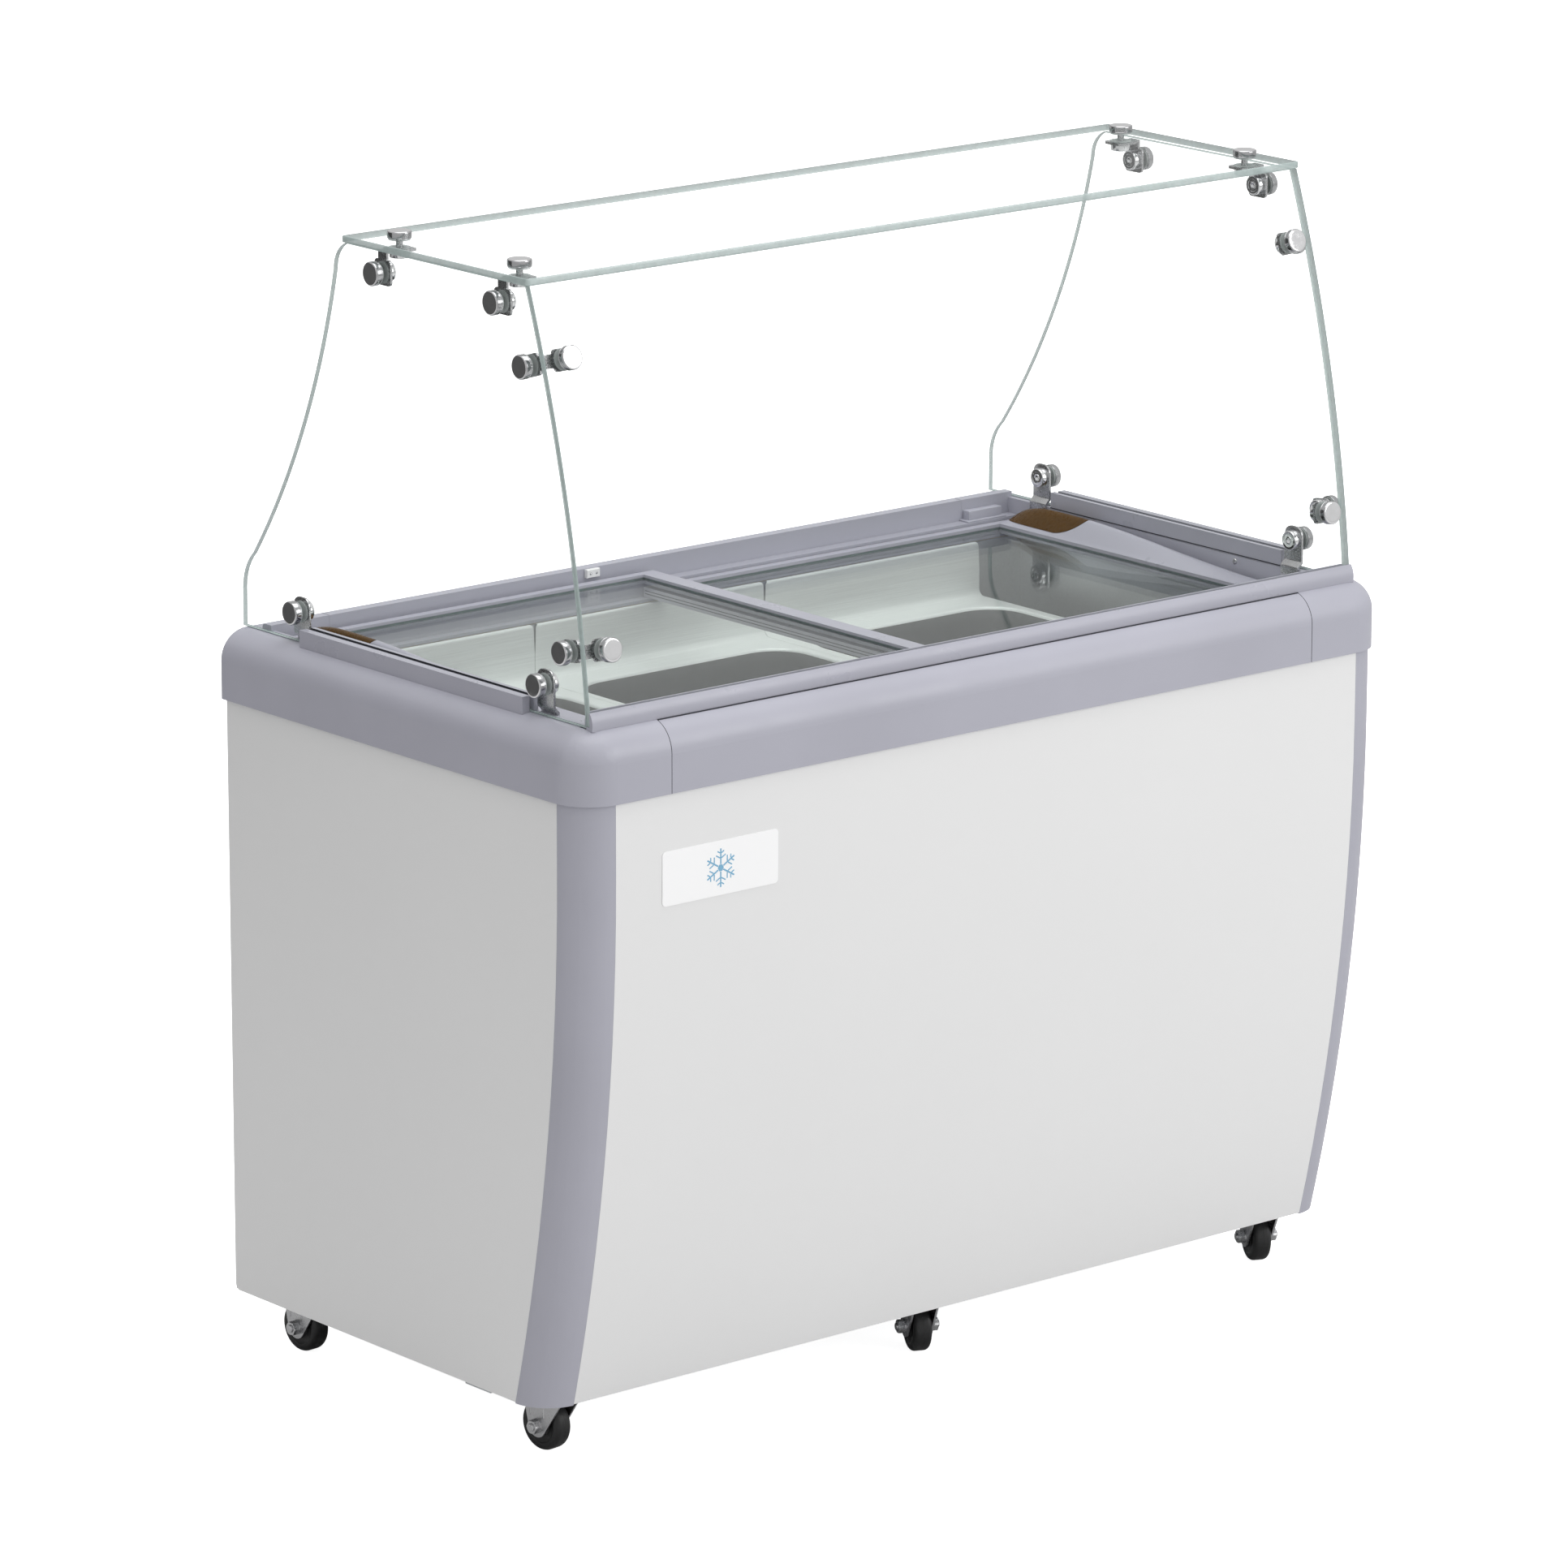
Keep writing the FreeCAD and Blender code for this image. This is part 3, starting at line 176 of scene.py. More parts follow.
# ------------------------------------------------------------------ materials
def mat_paint(name, rgb, rough=0.32):
    """Powder-coated sheet: slight orange peel, faint tone drift, softer gloss in patches."""
    m, nt, out = new_mat(name)
    vec = object_coords(nt)
    drift = noise(nt, vec, 1.6, 3.0)
    fine = noise(nt, vec, 900.0, 2.0)
    peel = noise(nt, vec, 260.0, 2.0)
    dark = tuple(c * 0.985 for c in rgb)
    p = principled(nt, out, Roughness=rough)
    p.inputs["Coat Weight"].default_value = 0.25
    p.inputs["Coat Roughness"].default_value = 0.12
    link(nt, ramp(nt, drift, [(0.35, dark), (0.65, rgb)]), p.inputs["Base Color"])
    link(nt, remap(nt, noise(nt, vec, 120.0, 3.0), rough - 0.02, rough + 0.03, 0.3, 0.7), p.inputs["Roughness"])
    b1 = bump(nt, peel, 0.05, 0.0004)
    link(nt, bump(nt, fine, 0.04, 0.0001, b1), p.inputs["Normal"])
    return m


def mat_plastic(name, rgb, rough=0.34, grain=0.10, coat=0.0):
    """Moulded or extruded plastic: fine spark-eroded grain, a little tone drift, rubbed patches."""
    m, nt, out = new_mat(name)
    vec = object_coords(nt)
    p = principled(nt, out, Roughness=rough)
    if coat:
        p.inputs["Coat Weight"].default_value = coat
        p.inputs["Coat Roughness"].default_value = 0.15
    drift = noise(nt, vec, 4.0, 3.0)
    lo = tuple(c * 0.955 for c in rgb)
    hi = tuple(min(1, c * 1.03) for c in rgb)
    speck = noise(nt, vec, 1400.0, 1.0)
    col = ramp(nt, drift, [(0.3, lo), (0.7, hi)])
    col = mix_rgb(nt, remap(nt, speck, 0.0, 0.05, 0.45, 0.75), col, tuple(c * 0.8 for c in rgb))
    link(nt, col, p.inputs["Base Color"])
    link(nt, remap(nt, noise(nt, vec, 22.0, 5.0), rough - 0.05, rough + 0.09, 0.3, 0.7), p.inputs["Roughness"])
    link(nt, bump(nt, noise(nt, vec, 1800.0, 2.0), grain, 0.0001), p.inputs["Normal"])
    return m


def mat_metal(name, rgb, rough=0.25, brushed=None, bumpy=0.03):
    """Bare metal. brushed is the direction the brush lines run along: x, y, z or None."""
    m, nt, out = new_mat(name)
    p = principled(nt, out, Roughness=rough, Metallic=1.0)
    if brushed:
        s = {"x": (6, 900, 900), "y": (900, 6, 900), "z": (900, 900, 6)}[brushed]
        vec = object_coords(nt, s)
        lines = noise(nt, vec, 1.0, 3.0, 0.6)
    else:
        lines = noise(nt, object_coords(nt), 420.0, 3.0, 0.6)
    blot = noise(nt, object_coords(nt), 9.0, 4.0)
    lo = tuple(c * 0.86 for c in rgb)
    link(nt, ramp(nt, lines, [(0.3, lo), (0.7, rgb)]), p.inputs["Base Color"])
    link(nt, math_node(nt, "ADD", remap(nt, lines, rough - 0.06, rough + 0.08, 0.3, 0.7), remap(nt, blot, -0.03, 0.05, 0.3, 0.7)), p.inputs["Roughness"])
    link(nt, bump(nt, lines, bumpy, 0.0002), p.inputs["Normal"])
    return m


def mat_chrome(name, rgb=(0.86, 0.86, 0.87), rough=0.06):
    m, nt, out = new_mat(name)
    p = principled(nt, out, Roughness=rough, Metallic=1.0)
    vec = object_coords(nt)
    smear = noise(nt, vec, 90.0, 3.0)
    link(nt, ramp(nt, smear, [(0.3, tuple(c * 0.95 for c in rgb)), (0.7, rgb)]), p.inputs["Base Color"])
    link(nt, remap(nt, noise(nt, vec, 150.0, 4.0), rough * 0.6, rough * 1.8, 0.3, 0.7), p.inputs["Roughness"])
    return m


def mat_glass_face(name, tint=(0.985, 0.995, 0.99), gloss=1.0, veil=0.0):
    """Face of a thin glass sheet: lets light straight through, mirrors by Fresnel."""
    m, nt, out = new_mat(name)
    t = node(nt, "ShaderNodeBsdfTransparent")
    t.inputs[0].default_value = (*tint, 1)
    g = node(nt, "ShaderNodeBsdfPrincipled")
    g.inputs["Metallic"].default_value = 1.0
    g.inputs["Base Color"].default_value = (0.96, 0.98, 0.98, 1)
    vec = object_coords(nt)
    link(nt, remap(nt, noise(nt, vec, 6.0, 4.0), 0.01, 0.045, 0.3, 0.7), g.inputs["Roughness"])
    lw = node(nt, "ShaderNodeLayerWeight")
    lw.inputs["Blend"].default_value = 0.5
    grazing = math_node(nt, "POWER", lw.outputs["Facing"], 5.0)
    f = remap(nt, grazing, 0.04 * gloss, gloss)
    mx = node(nt, "ShaderNodeMixShader")
    link(nt, f, mx.inputs[0])
    link(nt, t.outputs[0], mx.inputs[1])
    link(nt, g.outputs[0], mx.inputs[2])
    last = mx
    if veil:
        d = node(nt, "ShaderNodeBsdfPrincipled")
        d.inputs["Base Color"].default_value = (0.9, 0.95, 0.94, 1)
        d.inputs["Roughness"].default_value = 0.4
        mv = node(nt, "ShaderNodeMixShader")
        link(nt, remap(nt, noise(nt, vec, 11.0, 4.0), veil * 0.7, veil * 1.3, 0.3, 0.7), mv.inputs[0])
        link(nt, mx.outputs[0], mv.inputs[1])
        link(nt, d.outputs[0], mv.inputs[2])
        last = mv
    link(nt, last.outputs[0], out.inputs[0])
    return m


def mat_glass_edge(name, rgb, alpha=0.75):
    """Ground and polished edge of a sheet: pale green, a little see-through, fine grind lines."""
    m, nt, out = new_mat(name)
    p = principled(nt, out, Roughness=0.22)
    vec = object_coords(nt, (140, 140, 140))
    n1 = noise(nt, vec, 1.0, 3.0)
    lo = tuple(c * 0.93 for c in rgb)
    hi = tuple(min(1, c * 1.05) for c in rgb)
    link(nt, ramp(nt, n1, [(0.32, lo), (0.68, hi)]), p.inputs["Base Color"])
    p.inputs["Specular IOR Level"].default_value = 0.6
    p.inputs["Alpha"].default_value = alpha
    link(nt, bump(nt, n1, 0.05, 0.0003), p.inputs["Normal"])
    return m


def mat_rubber(name, rgb=(0.006, 0.006, 0.0065), rough=0.34):
    m, nt, out = new_mat(name)
    p = principled(nt, out, Roughness=rough)
    vec = object_coords(nt)
    dust = noise(nt, vec, 55.0, 5.0, 0.6)
    col = ramp(nt, dust, [(0.42, rgb), (0.8, tuple(c * 1.5 + 0.002 for c in rgb))])
    link(nt, col, p.inputs["Base Color"])
    link(nt, remap(nt, dust, rough - 0.05, rough + 0.2, 0.3, 0.7), p.inputs["Roughness"])
    link(nt, bump(nt, noise(nt, vec, 700.0, 3.0), 0.12, 0.0002), p.inputs["Normal"])
    return m


def mat_brown(name):
    """Glossy amber-brown grip: depth by coat and slow swirls."""
    m, nt, out = new_mat(name)
    vec = object_coords(nt, (18, 3.2, 14))
    p = principled(nt, out, Roughness=0.22)
    p.inputs["Coat Weight"].default_value = 0.04
    p.inputs["Coat Roughness"].default_value = 0.12
    p.inputs["Specular IOR Level"].default_value = 0.16
    swirl = noise(nt, vec, 1.0, 4.0, 0.6)
    a, b = lin(68, 43, 0), lin(86, 57, 0)
    link(nt, ramp(nt, swirl, [(0.3, a), (0.72, b)]), p.inputs["Base Color"])
    link(nt, remap(nt, noise(nt, object_coords(nt), 200.0, 3.0), 0.24, 0.32, 0.3, 0.7), p.inputs["Roughness"])
    link(nt, bump(nt, noise(nt, object_coords(nt), 900.0, 2.0), 0.04, 0.0001), p.inputs["Normal"])
    return m


def mat_foam(name):
    m, nt, out = new_mat(name)
    p = principled(nt, out, Roughness=0.9)
    vec = object_coords(nt)
    v = node(nt, "ShaderNodeTexVoronoi")
    v.inputs["Scale"].default_value = 420.0
    link(nt, vec, v.inputs["Vector"])
    link(nt, ramp(nt, v.outputs["Distance"], [(0.1, (0.45, 0.36, 0.17)), (0.6, (0.72, 0.62, 0.36))]), p.inputs["Base Color"])
    link(nt, bump(nt, v.outputs["Distance"], 0.4, 0.0008), p.inputs["Normal"])
    return m


PAINT = mat_paint("paint_white", (0.80, 0.80, 0.80))
LAV = lin(174, 174, 185)
RIM = mat_plastic("plastic_rim", LAV, 0.36, 0.08)
TRIM = mat_plastic("plastic_trim", tuple(c * 1.0 for c in LAV), 0.42, 0.10)
EXTR = mat_plastic("plastic_extrusion", tuple(c * 0.98 for c in LAV), 0.30, 0.05)
TRACK = mat_plastic("plastic_track", tuple(c * 0.90 for c in LAV), 0.38, 0.06)
# dark plastic for thin bands laid in seams and grooves: painted shade
GROOVE_SHADE = mat_plastic("plastic_groove_painted_shade", lin(50, 50, 57), 0.8, 0.05)
STEEL = mat_metal("stainless", (0.94, 0.965, 0.955), 0.42, "x", 0.04)
# Pan wells: stainless steel painted near black, a painted shade standing in for the deep wells in shadow under the lids
WELL_PAINTED_SHADE = mat_metal("stainless_well_painted_shade", (0.075, 0.078, 0.076), 0.42, None, 0.01)
STEEL.node_tree.nodes["Principled BSDF"].inputs["Metallic"].default_value = 0.30
LINER = mat_metal("liner_alu", (0.66, 0.68, 0.70), 0.42, None, 0.10)
wnt = WELL_PAINTED_SHADE.node_tree
wp = wnt.nodes["Principled BSDF"]
wsep = node(wnt, "ShaderNodeSeparateXYZ")
link(wnt, object_coords(wnt), wsep.inputs[0])
# well colour darker towards the bottom by height: painted shade deepening down the well
well_shade_col = ramp(wnt, remap(wnt, wsep.outputs[2], 0.0, 1.0, 0.600, 0.775), [(0.0, (0.035, 0.037, 0.036)), (0.55, (0.055, 0.058, 0.056)), (0.95, (0.17, 0.175, 0.172))])
link(wnt, mix_rgb(wnt, remap(wnt, noise(wnt, object_coords(wnt), 260.0, 3.0), 0.0, 0.35, 0.3, 0.7), well_shade_col, (0.06, 0.062, 0.061)), wp.inputs["Base Color"])
ZINC = mat_metal("zinc_plate", (0.60, 0.60, 0.61), 0.24, None, 0.05)
FORKM = mat_metal("zinc_fork", (0.56, 0.56, 0.57), 0.30, None, 0.06)
GALV = mat_metal("galvanised", (0.58, 0.60, 0.62), 0.38, None, 0.08)
COPPER = mat_metal("copper", (0.80, 0.42, 0.25), 0.28, None, 0.05)
CHROME = mat_chrome("chrome")
# darker chrome for the knobs' side bands: painted shade standing in for the dark reflection around each cap
CHROME_SIDE_SHADE = mat_chrome("chrome_band_painted_shade", (0.50, 0.50, 0.51), 0.09)
GFACE = mat_glass_face("guard_glass", (0.979, 0.983, 0.981), 0.14)
GEDGE = mat_glass_edge("guard_glass_edge", lin(172, 186, 184), 0.9)
LFACE = mat_glass_face("lid_glass", (0.976, 0.988, 0.981), 0.55, 0.0)
LEDGE = mat_glass_edge("lid_glass_edge", lin(120, 140, 134), 0.95)
WASHER = mat_glass_face("clear_washer", (0.80, 0.82, 0.82), 1.0, 0.35)
RUBBER = mat_rubber("black_rubber")
BLACKP = mat_plastic("black_plastic", (0.02, 0.02, 0.022), 0.5, 0.2)
BLACKS = mat_paint("black_enamel", (0.016, 0.016, 0.017), 0.28)
BROWN = mat_brown("brown_grip")
WHITEP = mat_plastic("white_plastic", (0.82, 0.82, 0.82), 0.28, 0.04)
LABEL = mat_paint("badge_white", (0.97, 0.97, 0.975), 0.3)
ICE = mat_plastic("badge_blue", lin(120, 176, 208), 0.25, 0.02, 0.4)
FOAM = mat_foam("pu_foam")


def set_material(name, mat):
    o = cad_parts[name]
    o.data.materials.clear()
    o.data.materials.append(mat)
    return o


# ------------------------------------------------------------------ mesh helpers
def mesh_object(name, verts, faces, mats, smooth=True, body="cabinet", replaces=(), angle=35.0, mat_index=None):
    me = bpy.data.meshes.new(name)
    me.from_pydata([tuple(v) for v in verts], [], faces)
    me.validate()
    bm = bmesh.new()
    bm.from_mesh(me)
    bmesh.ops.remove_doubles(bm, verts=bm.verts, dist=1e-6)
    bmesh.ops.recalc_face_normals(bm, faces=bm.faces)
    bm.to_mesh(me)
    bm.free()
    for m in mats if isinstance(mats, (list, tuple)) else [mats]:
        me.materials.append(m)
    o = bpy.data.objects.new(name, me)
    scene.collection.objects.link(o)
    if mat_index:
        for p in me.polygons:
            p.material_index = mat_index(p)
    if smooth:
        shade(o, angle)
    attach(o, body)
    if replaces:
        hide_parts(*replaces)
    return o


def shade(o, angle=35.0):
    """Smooth shading with sharp edges past an angle, stored on the mesh."""
    me = o.data
    for p in me.polygons:
        p.use_smooth = True
    bm = bmesh.new()
    bm.from_mesh(me)
    lim = math.radians(angle)
    for e in bm.edges:
        if len(e.link_faces) == 2:
            e.smooth = e.calc_face_angle(0.0) < lim
    bm.to_mesh(me)
    bm.free()


def apply_modifiers(o):
    dg = bpy.context.evaluated_depsgraph_get()
    dg.update()
    me = bpy.data.meshes.new_from_object(o.evaluated_get(dg))
    old = o.data
    o.modifiers.clear()
    o.data = me
    bpy.data.meshes.remove(old)


def bevelled(o, width, segments=2, angle=40.0, harden=False):
    b = o.modifiers.new("bevel", "BEVEL")
    b.width = width
    b.segments = segments
    b.limit_method = "ANGLE"
    b.angle_limit = math.radians(angle)
    b.harden_normals = harden
    b.miter_outer = "MITER_ARC"
    return o


def ring_skin(rings, close_ring=True, close_path=False, cap=True):
    """Faces between rings of points of one count. Returns verts, faces."""
    n = len(rings[0])
    verts = [p for r in rings for p in r]
    faces = []
    m = len(rings)
    for i in range(m if close_path else m - 1):
        a, b = i * n, ((i + 1) % m) * n
        for j in range(n if close_ring else n - 1):
            k = (j + 1) % n
            faces.append((a + j, a + k, b + k, b + j))
    if cap and not close_path:
        faces.append(tuple(range(n - 1, -1, -1)))
        faces.append(tuple((m - 1) * n + j for j in range(n)))
    return verts, faces


def basis(axis):
    z = Vector(axis).normalized()
    x = Vector((0, 0, 1)).cross(z)
    if x.length < 1e-3:
        x = Vector((1, 0, 0))
    x.normalize()
    return x, z.cross(x), z


def lathe(profile, origin, axis, segs=64):
    """Closed solid of revolution. profile: (radius, distance along axis) in mm, from axis to axis or a closed loop."""
    x, y, z = basis(axis)
    o = Vector(origin)
    rings = []
    for i in range(segs):
        a = 2 * math.pi * i / segs
        d = x * math.cos(a) + y * math.sin(a)
        rings.append([(o + d * r + z * t) * MM for r, t in profile])
    closed = profile[0] != profile[-1] and profile[0][0] > 1e-6
    verts, faces = ring_skin(rings, close_ring=closed, close_path=True, cap=False)
    return verts, faces


def merge(parts):
    verts, faces = [], []
    for v, f in parts:
        k = len(verts)
        verts += v
        faces += [tuple(i + k for i in q) for q in f]
    return verts, faces


def prism(outline, u, v, w, thick, origin=(0, 0, 0)):
    """Outline [(a, b)] in mm in the plane of unit vectors u, v, extruded along w by thick, starting at origin."""
    u, v, w, o = Vector(u), Vector(v), Vector(w), Vector(origin)
    base = [(o + u * a + v * b) * MM for a, b in outline]
    top = [p + w * thick * MM for p in base]
    return ring_skin([base, top])


def arc_pts(cx, cy, r, a0, a1, n):
    return [
        (cx + r * math.cos(math.radians(a0 + (a1 - a0) * i / n)), cy + r * math.sin(math.radians(a0 + (a1 - a0) * i / n)))
        for i in range(n + 1)
    ]


def rounded_rect(x0, y0, x1, y1, r, n=8):
    return (
        arc_pts(x1 - r, y1 - r, r, 0, 90, n)
        + arc_pts(x0 + r, y1 - r, r, 90, 180, n)
        + arc_pts(x0 + r, y0 + r, r, 180, 270, n)
        + arc_pts(x1 - r, y0 + r, r, 270, 360, n)
    )


def box_mesh(x0, y0, z0, x1, y1, z1):
    return prism([(x0, y0), (x1, y0), (x1, y1), (x0, y1)], (1, 0, 0), (0, 1, 0), (0, 0, 1), z1 - z0, (0, 0, z0))


# ------------------------------------------------------------------ dimensions (mm), as in the frame
BODY_X, BODY_Y, BODY_Z0, BODY_Z1 = 620.0, 336.7, 74.5, 803.5
FRONT_R, FRONT_ZS, TRIM_R, TRIM_T = 2620.0, 720.0, 47.0, 2.5
YC = -BODY_Y + FRONT_R
RIM_X, RIM_Y, RIM_Z, RIM_RP, RIM_RT, RIM_WALL = 624.0, 340.7, 886.0, 51.0, 37.0, 4.0
RIM_INX, RIM_INY, RIM_SEAM, LIP_Y1, LIP_Z = 574.0, 300.3, 495.0, 318.0, 893.0
CH_OUT, CH_IN, CH_Y0, CH_Y1, CH_Z0, CH_Z1, FCH_X = 598.0, 575.0, -200.0, 221.0, 884.0, 905.0, 588.0
GL, EG_X, FG_X = 6.0, 587.3, 587.0
TOP_Z0, TOP_Z1, TOP_X, TOP_Y0, TOP_Y1 = 1375.0, 1383.0, 590.6, -203.0, 140.0
EG_Z0, EG_ZT = 886.3, 1374.6
KNOB_R, KNOB_T, WASH_R, WASH_OUT, WASH_IN, PLATE, PAD = 14.25, 9.0, 13.0, 2.0, 1.5, 3.0, 15.0
NUT_R, NUT_T, STUD_R = 12.0, 8.0, 4.0
XIN = EG_X - GL - WASH_IN
WHEEL_R, WHEEL_W, TRAIL = 31.0, 24.0, 16.0

FG_A, FG_B, FG_R = (-309.0, 889.0), (-203.3, 1374.6), 2020.0
_dy, _dz = FG_B[0] - FG_A[0], FG_B[1] - FG_A[1]
_ch = math.hypot(_dy, _dz)
_sag = FG_R - math.sqrt(FG_R**2 - _ch**2 / 4)
_ny, _nz = -_dz / _ch, _dy / _ch
_M = ((FG_A[0] + FG_B[0]) / 2 + _ny * _sag, (FG_A[1] + FG_B[1]) / 2 + _nz * _sag)
FG_C = (_M[0] - _ny * FG_R, _M[1] - _nz * FG_R)


def fg_point(z, off):
    r, h = FG_R - off, z - FG_C[1]
    return FG_C[0] - math.sqrt(r * r - h * h)


def fg_normal(z):
    return ((fg_point(z, 0) - FG_C[0]) / FG_R, (z - FG_C[1]) / FG_R)


def arc3(a, m, b, n):
    """Points of the arc through three points in a plane, a to b inclusive."""
    ax, ay = a
    bx, by = m
    cx, cy = b
    d = 2 * (ax * (by - cy) + bx * (cy - ay) + cx * (ay - by))
    ux = ((ax * ax + ay * ay) * (by - cy) + (bx * bx + by * by) * (cy - ay) + (cx * cx + cy * cy) * (ay - by)) / d
    uy = ((ax * ax + ay * ay) * (cx - bx) + (bx * bx + by * by) * (ax - cx) + (cx * cx + cy * cy) * (bx - ax)) / d
    r = math.hypot(ax - ux, ay - uy)
    t0, tm, t1 = (math.atan2(p[1] - uy, p[0] - ux) for p in (a, m, b))
    two = 2 * math.pi
    ccw = ((tm - t0) % two) < ((t1 - t0) % two)
    span = (t1 - t0) % two if ccw else -((t0 - t1) % two)
    return [(ux + r * math.cos(t0 + span * i / n), uy + r * math.sin(t0 + span * i / n)) for i in range(n + 1)]


# ------------------------------------------------------------------ carried-over nodes: finishes
for n in ("side_panel_left", "side_panel_right", "front_panel", "rear_panel"):
    set_material(n, PAINT)
for n in ("base_pan", "condenser_coil", "caster_plates"):
    set_material(n, GALV)
set_material("insulation", FOAM)
set_material("inner_liner", LINER)
set_material("evaporator_coil", COPPER)
set_material("lid_track_frame", TRACK)
for n in ("compressor", "fan_frame", "fan_rotor"):
    set_material(n, BLACKS)
for n in ("rear_grille", "cord_gland", "thermostat_knob"):
    set_material(n, BLACKP)
for n in ("corner_trim_left", "corner_trim_right"):
    set_material(n, TRIM)
for n in ("rim_end_left", "rim_end_right", "rim_front_strip", "rim_rear_strip"):
    set_material(n, RIM)
for n in ("lid_left_frame", "lid_right_frame", "lid_left_handle", "lid_right_handle", "glass_channels"):
    set_material(n, EXTR)
for n in ("lid_left_grip", "lid_right_grip"):
    set_material(n, BROWN)
for n in ("pan_left", "pan_middle", "pan_right"):
    set_material(n, STEEL)
for n in ("lid_left_glass", "lid_right_glass"):
    set_material(n, LFACE)
for n in ("clamp_knobs",):
    set_material(n, CHROME)
for n in ("top_brackets", "corner_brackets", "base_posts", "post_screws", "clamp_nuts"):
    set_material(n, ZINC)
set_material("clamp_washers", WASHER)
set_material("lid_stop", WHITEP)
set_material("badge", LABEL)
for c in ("fl", "fm", "fr", "rl", "rm", "rr"):
    set_material("caster_%s_fork" % c, FORKM)
    set_material("caster_%s_wheel" % c, RUBBER)


# ------------------------------------------------------------------ guard glass
def sheet_glass(name, outline, u, v, w, thick, origin, replaces, rnd=0.9):
    """Flat sheet with ground, slightly rounded edges: faces take the clear finish, edges the green one."""
    vs, fs = prism(outline, u, v, w, thick, origin)
    o = mesh_object(name, vs, fs, [GFACE, GEDGE], smooth=False, replaces=replaces)
    n = Vector(w).normalized()
    for p in o.data.polygons:
        p.material_index = 0 if abs(p.normal.dot(n)) > 0.95 else 1
    bevelled(o, rnd * MM, 2, 50)
    apply_modifiers(o)
    for p in o.data.polygons:
        flat = abs(p.normal.dot(n)) > 0.999
        p.material_index = 0 if flat else 1
    shade(o, 40)
    return o


eg_outline = (
    [(fg_point(EG_Z0 + (EG_ZT - EG_Z0) * i / 24, GL + 0.5), EG_Z0 + (EG_ZT - EG_Z0) * i / 24) for i in range(25)]
    + arc3((137.0, EG_ZT), (152.5, 1363.5), (160.5, 1341.2), 10)
    + arc3((160.5, 1341.2), (226.7, 1144.5), (325.0, 978.1), 28)[1:]
    + arc3((325.0, 978.1), (341.0, 956.5), (346.4, 933.0), 6)[1:]
    + [(346.5, EG_Z0)]
)
for side, s in (("left", -1), ("right", 1)):
    sheet_glass(
        "end_glass_%s_sheet" % side, eg_outline, (0, 1, 0), (0, 0, 1), (1, 0, 0), GL,
        (-EG_X if s < 0 else EG_X - GL, 0, 0), ("end_glass_%s" % side,),
    )
sheet_glass(
    "top_glass_sheet", rounded_rect(-TOP_X, TOP_Y0, TOP_X, TOP_Y1, 3.0, 5), (1, 0, 0), (0, 1, 0), (0, 0, 1),
    TOP_Z1 - TOP_Z0, (0, 0, TOP_Z0), ("top_glass",), 1.1,
)


def front_glass_mesh():
    n = 28
    zs = [FG_A[1] + (FG_B[1] - FG_A[1]) * i / n for i in range(n + 1)]
    e = 0.9
    # section across the thickness, swept along x with rounded ends
    def section(inset_x, inset_t):
        pts = []
        for z in zs:
            pts.append((fg_point(z, inset_t), z))
        for z in reversed(zs):
            pts.append((fg_point(z, GL - inset_t), z))
        return pts
    rings = []
    for x, t in ((-FG_X, e), (-FG_X + 0.3, 0.35), (-FG_X + e, 0.0), (FG_X - e, 0.0), (FG_X - 0.3, 0.35), (FG_X, e)):
        rings.append([Vector((x, y, z)) * MM for y, z in section(0, t)])
    vs, fs = ring_skin(rings)
    o = mesh_object("front_glass_sheet", vs, fs, [GFACE, GEDGE], smooth=False, replaces=("front_glass",))
    for p in o.data.polygons:
        c = p.center
        edge = abs(p.normal.x) > 0.05 or abs(c.z - FG_A[1] * MM) < 1e-5 or abs(c.z - FG_B[1] * MM) < 1e-5
        p.material_index = 1 if edge else 0
    shade(o, 30)
    return o


front_glass_mesh()


def lid_glass_mesh(side, s, yh, z0):
    if s < 0:
        ia, ib = -568.0 + 37.0, -11.0 - 24.0
    else:
        ia, ib = -35.0 + 24.0, 568.0 - 37.0
    zg = z0 + 4.0
    vs, fs = prism(rounded_rect(ia - 4, -yh + 8, ib + 4, yh - 8, 2.0, 3), (1, 0, 0), (0, 1, 0), (0, 0, 1), 4.0, (0, 0, zg))
    o = mesh_object("lid_%s_pane" % side, vs, fs, [LFACE, LEDGE], smooth=False, body="lid_%s" % side,
                    replaces=("lid_%s_glass" % side,))
    for p in o.data.polygons:
        p.material_index = 0 if abs(p.normal.z) > 0.9 else 1
    return o


lid_glass_mesh("left", -1, 291.0, 867.0)
lid_glass_mesh("right", 1, 279.5, 851.0)

# ------------------------------------------------------------------ carried-over nodes: softened edges and shading
def soften(name, width, segments=2, angle=38.0):
    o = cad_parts[name]
    b = bevelled(o, width * MM, segments, angle)
    b = o.modifiers["bevel"]
    b.use_clamp_overlap = True
    w = o.modifiers.new("normals", "WEIGHTED_NORMAL")
    w.keep_sharp = False
    w.weight = 80
    return o


for n, wd in (
    ("lid_track_frame", 0.5), ("lid_left_frame", 0.9), ("lid_right_frame", 0.9), ("top_brackets", 0.35),
    ("corner_brackets", 0.35), ("glass_channels", 0.45),
):
    soften(n, wd)


# ------------------------------------------------------------------ guard clamps
def turned(profile, origin, axis, segs=64):
    """Like lathe, but a radius may be a function of the angle in degrees."""
    x, y, z = basis(axis)
    o = Vector(origin)
    rings = []
    for i in range(segs):
        a = 360.0 * i / segs
        d = x * math.cos(math.radians(a)) + y * math.sin(math.radians(a))
        rings.append([(o + d * (r(a) if callable(r) else r) + z * t) * MM for r, t in profile])
    return ring_skin(rings, close_ring=False, close_path=True, cap=False)


def hex_radius(af):
    return lambda a: (af / 2) / math.cos(math.radians((a % 60.0) - 30.0))


